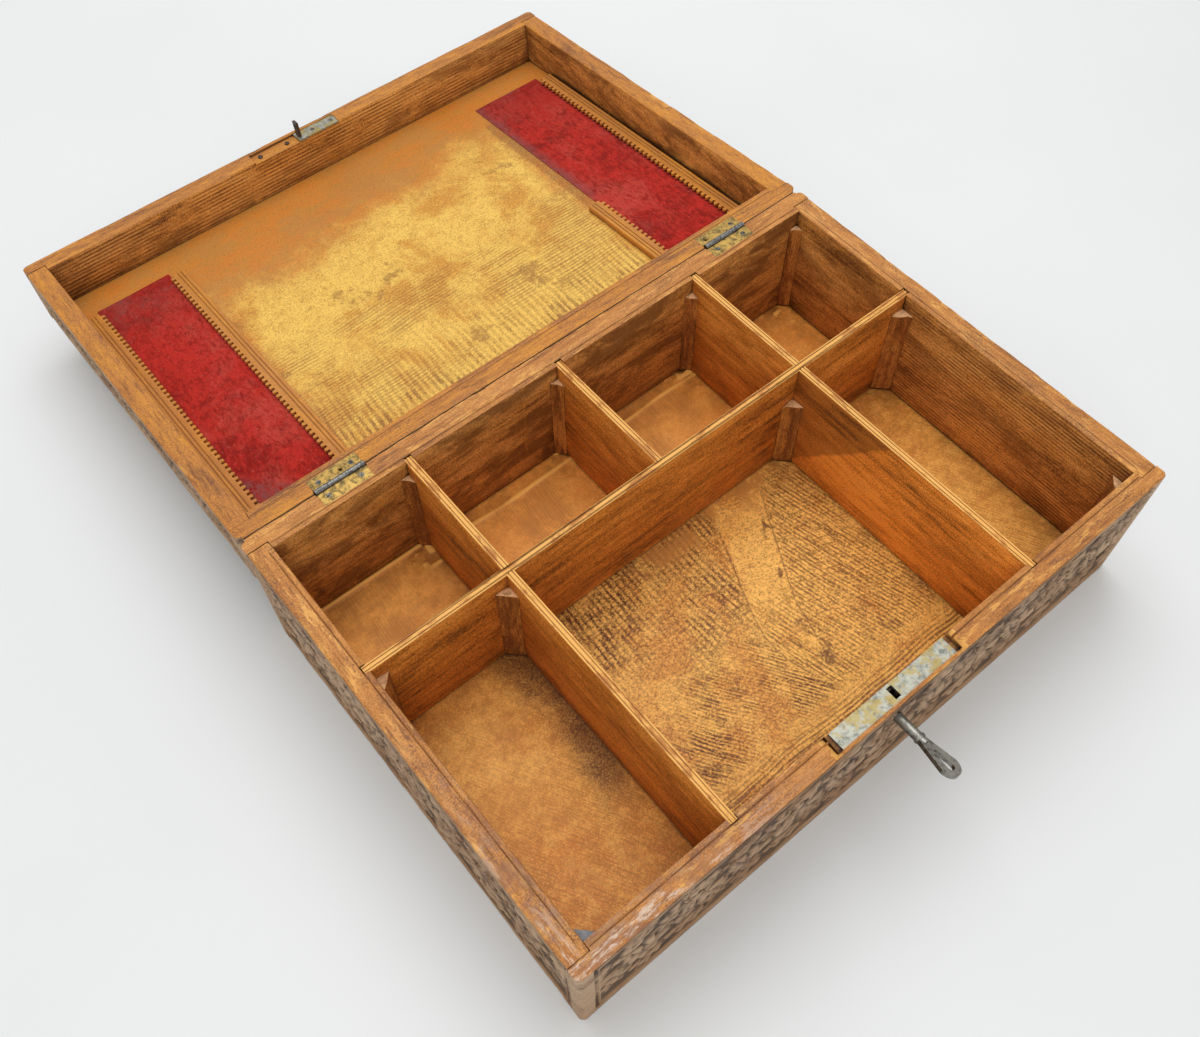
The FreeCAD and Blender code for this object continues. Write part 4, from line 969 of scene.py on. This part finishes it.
class BuildStage(bpy.types.Operator):
    """Lay the pale floor, set the soft lights and the camera"""

    bl_idname = "carvedbox.stage"
    bl_label = "Stage, lights and camera"

    def execute(self, context):
        _, looks = settings(context)
        scene = context.scene
        scene.view_settings.view_transform = "Standard"
        finish = Finish("table_top")
        tone = finish.spot.noise(3.0, 3.0)
        colour = mixed(tone.rise(0.3, 0.7), opaque(looks.table), opaque(looks.table, 0.97))
        material = finish.close(colour, 0.6 + tone * 0.05, tone, 0.02, 0.1 * MM)
        mesh = bpy.data.meshes.new("floor")
        reach = 12.0
        corners = [(-reach, -reach), (reach, -reach), (reach, reach), (-reach, reach)]
        mesh.from_pydata([(x, y, -0.1 * MM) for x, y in corners], [], [(0, 1, 2, 3)])
        mesh.materials.append(material)
        floor = bpy.data.objects.new("floor", mesh)
        scene.collection.objects.link(floor)
        self.light_world(scene)
        self.add_lamp("window_left", (-0.6, -0.75, 1.5), 1.2, 6.5)
        self.add_lamp("window_above", (0.25, 0.5, 1.6), 1.3, 14.5)
        self.place_camera(scene)
        return {"FINISHED"}

    def light_world(self, scene):
        world = bpy.data.worlds.new("studio")
        world.use_nodes = True
        world.node_tree.nodes.clear()
        start = Socket(world.node_tree)
        camera, glossy, through = (
            start.node("ShaderNodeLightPath", output=name)
            for name in ("Is Camera Ray", "Is Glossy Ray", "Is Transmission Ray")
        )
        seen = camera.larger(glossy).larger(through)
        lit = start.node("ShaderNodeBackground", None, {"Color": (1.0, 0.97, 0.91, 1.0), "Strength": 0.5})
        white = start.node("ShaderNodeBackground", None, {"Color": (1.0, 1.0, 1.0, 1.0), "Strength": 1.0})
        both = start.node("ShaderNodeMixShader", None, {0: seen, 1: lit, 2: white})
        start.node("ShaderNodeOutputWorld", None, {"Surface": both})
        scene.world = world

    def add_lamp(self, name, place, size, power):
        lamp = bpy.data.lights.new(name, "AREA")
        lamp.size = size
        lamp.energy = power
        lamp.color = (0.96, 0.98, 1.0)
        holder = bpy.data.objects.new(name, lamp)
        holder.location = place
        holder.rotation_mode = "QUATERNION"
        holder.rotation_quaternion = (-Vector(place)).to_track_quat("-Z", "Y")
        bpy.context.scene.collection.objects.link(holder)

    def place_camera(self, scene):
        camera = bpy.data.cameras.new("camera")
        camera.sensor_width = 36.0
        camera.lens = 35.634
        camera.clip_start = 0.01
        holder = bpy.data.objects.new("camera", camera)
        right = Vector((0.77193, -0.63567, -0.00622))
        up = Vector((0.54333, 0.65465, 0.52558))
        back = Vector((-0.33003, -0.40909, 0.85072))
        turn = Matrix((right, up, back)).transposed().to_4x4()
        holder.matrix_world = Matrix.Translation((-0.23809, -0.20789, 0.58739)) @ turn
        scene.collection.objects.link(holder)
        scene.camera = holder


class BuildBaseBoards(bpy.types.Operator):
    """Carve the four boards of the base"""

    bl_idname = "carvedbox.base_boards"
    bl_label = "Carved boards of the base"

    def execute(self, context):
        sizes, looks = settings(context)
        for word, side, sign, along in SIDES:
            run = ALONG_X if along == X else ALONG_Y
            offset = 0.31 * (len(word) + sign)
            node = f"base_{word}_board"
            ribs = (2.5 * MM, -0.13, 0.045) if word == "right" else None
            materials = [
                carved_wood(f"carving_{word}", run, looks, offset),
                rim_wood(f"rim_{word}", run, looks, offset),
                inner_wood(f"inside_{word}", run, looks, offset, ribs),
            ]
            bm = worn_board(node, (side, sign), along, sizes)
            finish_piece(bm, f"carved_{word}_board", "base", materials, [node])
        return {"FINISHED"}


class BuildLidBoards(bpy.types.Operator):
    """Carve the four boards of the lid"""

    bl_idname = "carvedbox.lid_boards"
    bl_label = "Carved boards of the lid"

    def execute(self, context):
        sizes, looks = settings(context)
        ribs = (2.4 * MM, 0.3, 0.5)
        for word, side, sign, along in SIDES:
            run = ALONG_X if along == X else ALONG_Y
            offset = 0.57 * (len(word) + sign) + 2
            node = f"lid_{word}_board"
            bruising = 0.8 if word == "back" else 0.35
            materials = [
                carved_wood(f"lid_carving_{word}", run, looks, offset),
                rim_wood(f"lid_rim_{word}", run, looks, offset, looks.rim_golden, bruising),
                inner_wood(f"lid_inside_{word}", run, looks, offset, ribs if word == "front" else None),
            ]
            bm = worn_board(node, (side, sign), along, sizes, closed, -1)
            finish_piece(bm, f"carved_lid_{word}_board", "lid", materials, [node], folded)
        return {"FINISHED"}


class BuildPanels(bpy.types.Operator):
    """Finish the lid panel and the bottom board"""

    bl_idname = "carvedbox.panels"
    bl_label = "Lid panel and bottom board"

    def execute(self, context):
        sizes, looks = settings(context)
        bm = flat_copy("lid_panel", closed)
        bm.normal_update()
        tops = [face for face in bm.faces if face.normal.z > 0.99]
        reach_x, reach_y = half_length - sizes.plain_corner, half_depth - sizes.plain_corner
        box = ((-reach_x, reach_x), (-reach_y, reach_y))
        step, pitch = sizes.carving_step * 1.5, sizes.scroll_pitch * 1.6
        carve(bm, tops, X, Y, Vector((0, 0, 1)), box, sizes, step, pitch)
        bm.normal_update()
        for face in bm.faces:
            face.material_index = 0 if face.normal.z > 0.2 else 1
        materials = [carved_wood("carving_top", ALONG_X, looks, 5.0), panel_wood("lid_panel_golden", looks)]
        finish_piece(bm, "carved_lid_panel", "lid", materials, ["lid_panel"], folded)
        finish_piece(
            glued_floor(), "scraped_floor", "base", [floor_wood("scraped_floor", looks)],
            ["base_bottom_board"],
        )
        return {"FINISHED"}


def glued_floor():
    """The bottom board with a low ridge and old glue along the back walls of the cells."""
    bm = flat_copy("base_bottom_board")
    across = [2 * MM * i for i in range(int(-inner_x / (2 * MM)), int(inner_x / (2 * MM)) + 1)]
    up = [divider_high.y + MM * i for i in range(int((inner_y - divider_high.y) / MM) + 1)]
    tops = slice_faces(bm, slice_faces(bm, flat_faces(bm, floor_z), X, across), Y, up)
    layer = point_layer(bm, "raised")
    points = [
        vertex for vertex in {vertex for face in tops for vertex in face.verts}
        if vertex.co.y > divider_high.y and vertex.co.y < inner_y and abs(vertex.co.x) < inner_x
    ]
    place = np.array([vertex.co for vertex in points])
    gap = inner_y - place[:, Y]
    line = (8.5 + 2.5 * lattice_noise(place * (1, 0, 0), 30 * MM, 41)) * MM
    ridge = np.exp(-(((gap - line) / (1.6 * MM)) ** 2))
    ridge *= np.clip(1.0 + lattice_noise(place, 18 * MM, 42) * 0.6, 0, 1)
    ridge *= np.abs(place[:, X]) < side_x
    walls = np.array([-inner_x, -side_x, 0.0, side_x, inner_x])
    corner = np.hypot(np.abs(place[:, X, None] - walls).min(1), gap)
    lumps = np.clip(lattice_noise(place, 4 * MM, 43) * 2.2 - 0.5, 0, 1)
    lumps *= np.clip(1.3 - corner / (22 * MM), 0, 1)
    lip = np.clip(1.3 - gap / (2 * MM), 0, 1) * (place[:, X] < -side_x)
    for vertex, low, lump, edge in zip(points, ridge, lumps, lip):
        vertex[layer] = max(low * 0.75, lump, edge)
        vertex.co.z += max(low * 0.9, lump * 1.3, edge * 1.4) * MM
    return bm


def dress(node, material):
    """Gives a node that keeps its shape a better material."""
    piece = nodes[node]
    piece.data.materials.clear()
    piece.data.materials.append(material)


class BuildDividers(bpy.types.Operator):
    """Wear the dividers and the glue blocks"""

    bl_idname = "carvedbox.dividers"
    bl_label = "Dividers and glue blocks"

    def execute(self, context):
        sizes, looks = settings(context)
        long_wood = divider_wood("divider_long", ALONG_X, looks, 1.1)
        cross_wood = divider_wood("divider_cross", ALONG_Y, looks, 2.3)
        bright_wood = divider_wood("divider_bright", ALONG_Y, looks, 3.4, 1.3, True)
        bare = block_wood("glue_block", looks, looks.raw_wood)
        grey = block_wood("glue_block_painted", looks, looks.slate)
        for node in sorted(nodes):
            if "divider" in node:
                bm = flat_copy(node)
                soften(bm, sizes.small_wear * 0.5, 3 * MM)
                material = {"long_divider": long_wood, "front_divider_right": bright_wood}.get(node, cross_wood)
                finish_piece(bm, "worn_" + node, "base", [material], [node])
            elif node.startswith("glue_block"):
                material = grey if node == "glue_block_front_6" else bare
                bm = ragged_block(node, sizes)
                finish_piece(bm, "worn_" + node, "base", [material], [node])
        return {"FINISHED"}


def ragged_block(node, sizes):
    """A glue block with a broken top and uneven faces."""
    bm = flat_copy(node)
    soften(bm, sizes.small_wear, 3 * MM)
    low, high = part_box(node)
    for axis, step in ((Z, 3 * MM), (X, 1.4 * MM), (Y, 1.4 * MM)):
        places = [low[axis] + step * i for i in range(1, int((high[axis] - low[axis]) / step) + 1)]
        slice_faces(bm, bm.faces[:], axis, places)
    bm.normal_update()
    place = np.array([vertex.co for vertex in bm.verts])
    dent = np.clip(0.35 + lattice_noise(place, 6 * MM, 51) * 0.6, 0, 1) * 0.7
    broken = np.clip(lattice_noise(place, 3 * MM, 52) + 0.2, 0, 1) * 1.4
    for vertex, amount, lost in zip(bm.verts, dent, broken):
        if vertex.co.z > high.z - 1.5 * MM:
            vertex.co.z -= lost * MM
        elif vertex.co.z > low.z + MM:
            vertex.co -= vertex.normal * (amount * MM)
    return bm


class BuildStrips(bpy.types.Operator):
    """Finish the four toothed strips in the lid"""

    bl_idname = "carvedbox.strips"
    bl_label = "Toothed strips"

    def execute(self, context):
        sizes, looks = settings(context)
        material = strip_wood("toothed_strip", looks)
        for node in sorted(nodes):
            if node.startswith("strip_"):
                bm = flat_copy(node, closed)
                soften(bm, sizes.small_wear * 0.6, 1.5 * MM)
                finish_piece(bm, "worn_" + node, "lid", [material], [node], folded)
        return {"FINISHED"}


class BuildVelvet(bpy.types.Operator):
    """Lay the two velvet pads between the strips"""

    bl_idname = "carvedbox.velvet"
    bl_label = "Velvet pads"

    def execute(self, context):
        sizes, looks = settings(context)
        for word, offset in (("left", 0.4), ("right", 1.7)):
            node = f"velvet_pad_{word}"
            bm = flat_copy(node, closed)
            low = Vector([min(vertex.co[axis] for vertex in bm.verts) for axis in range(3)])
            high = Vector([max(vertex.co[axis] for vertex in bm.verts) for axis in range(3)])
            step = 1.5 * MM
            for axis in (X, Y):
                places = [low[axis] + step * i for i in range(1, int((high[axis] - low[axis]) / step))]
                slice_faces(bm, bm.faces[:], axis, places)
            place = np.array([vertex.co for vertex in bm.verts])
            shown = place[:, Z] < (low.z + high.z) / 2
            across = np.minimum(place[:, X] - low.x, high.x - place[:, X])
            along = np.minimum(place[:, Y] - low.y, high.y - place[:, Y])
            edge = np.minimum(across, along)
            crown = np.clip(edge / (9 * MM), 0, 1)
            crown = np.sin(crown * np.pi / 2) * sizes.pad_crown
            wave = lattice_noise(place, 26 * MM, 21 + int(offset * 10)) * 0.25 * MM
            wave += lattice_noise(place, 8 * MM, 22) * 0.08 * MM
            fold = 0.5 * MM * np.exp(-(((place[:, Y] - low.y - 6 * MM) / (0.9 * MM)) ** 2))
            drop = (sizes.pad_crown - crown) + np.clip(wave + 0.3 * MM, 0, 1) + fold
            frayed = lattice_noise(place, 3 * MM, 23) * 0.3 * MM
            for vertex, sunk, is_shown, fray, near in zip(bm.verts, drop, shown, frayed, edge):
                if is_shown:
                    vertex.co.z += min(sunk, 1.1 * MM)
                if near < 0.1 * MM:
                    inward = Vector(((low.x + high.x) / 2 - vertex.co.x, 0, 0)).normalized()
                    vertex.co += inward * (0.25 * MM + fray * 0.5)
            is_left = word == "left"
            worn_edge, frayed_edge = (low.x, None) if is_left else (None, low.x)
            cloth = velvet_cloth(f"velvet_{word}", looks, offset, worn_edge, frayed_edge)
            pad = finish_piece(bm, f"velvet_{word}", "lid", [cloth], [node], folded)
        return {"FINISHED"}


class BuildHardware(bpy.types.Operator):
    """Finish the hinges, the lock, the catch and the key"""

    bl_idname = "carvedbox.hardware"
    bl_label = "Hinges, lock, catch and key"

    def execute(self, context):
        _, looks = settings(context)
        brass = metal("aged_brass", looks.brass, looks.brass_deep, None, 300.0, (0.35, 0.65), 0.9, 0.5)
        knuckle = metal("hinge_knuckle", looks.knuckle, looks.iron, None, 700.0, (0.3, 0.5), 1.0, 0.5)
        tones = looks.plate, looks.plate_grey, looks.plate_yellow
        plate = metal("mottled_plate", *tones, 320.0, (0.38, 0.6), 0.8, 0.4)
        iron = metal("dark_iron", looks.iron, looks.rust, None, 400.0, (0.4, 0.7), 0.8, 0.3)
        steel = metal("key_steel", looks.steel, looks.steel_deep, None, 300.0, (0.22, 0.42), 1.0, 0.35)
        bright = metal("worn_screws", looks.screw, looks.iron, None, 500.0, (0.4, 0.65), 0.9, 0.5)
        for node in sorted(nodes):
            if node.startswith("hinge_") and "leaf" in node:
                body = "base" if "base" in node else "lid"
                bm = flat_copy(node)
                for face in bm.faces:
                    middle = face.calc_center_median()
                    away = math.hypot(middle.y - hinge_place.y, middle.z - hinge_place.z)
                    face.material_index = 1 if away < 1.75 * MM else 0
                finish_piece(bm, "worn_" + node, body, [brass, knuckle], [node])
            elif node.endswith("_pin"):
                dress(node, iron)
            elif node in ("lock_plate", "catch_plate"):
                dress(node, plate)
            elif node in ("lock_case", "lock_bolt", "lock_bolt_spring", "catch_link", "catch_old_screws"):
                dress(node, iron)
            elif node.endswith("screws"):
                dress(node, bright)
            elif node == "key":
                dress(node, steel)
        return {"FINISHED"}


class BoxPanel(bpy.types.Panel):
    """Lists the makers of the box, in order"""

    bl_idname = "VIEW3D_PT_carved_box"
    bl_label = "Carved box"
    bl_space_type = "VIEW_3D"
    bl_region_type = "UI"
    bl_category = "Carved box"

    def draw(self, context):
        for maker in MAKERS:
            self.layout.operator(maker.bl_idname)
        for group in settings(context):
            for name in group.bl_rna.properties.keys():
                if name not in ("rna_type", "name"):
                    self.layout.prop(group, name)


MAKERS = (
    BuildStage, BuildBaseBoards, BuildLidBoards, BuildPanels,
    BuildDividers, BuildStrips, BuildVelvet, BuildHardware,
)
CLASSES = (BoxSizes, BoxColours, *MAKERS, BoxPanel)


def register():
    for kind in CLASSES:
        bpy.utils.register_class(kind)
    bpy.types.Scene.box_sizes = PointerProperty(type=BoxSizes)
    bpy.types.Scene.box_colours = PointerProperty(type=BoxColours)


def unregister():
    del bpy.types.Scene.box_colours
    del bpy.types.Scene.box_sizes
    for kind in reversed(CLASSES):
        bpy.utils.unregister_class(kind)


def main():
    register()
    bpy.ops.carvedbox.stage()
    bpy.ops.carvedbox.base_boards()
    bpy.ops.carvedbox.lid_boards()
    bpy.ops.carvedbox.panels()
    bpy.ops.carvedbox.dividers()
    bpy.ops.carvedbox.strips()
    bpy.ops.carvedbox.velvet()
    bpy.ops.carvedbox.hardware()


if __name__ == "__main__":
    main()
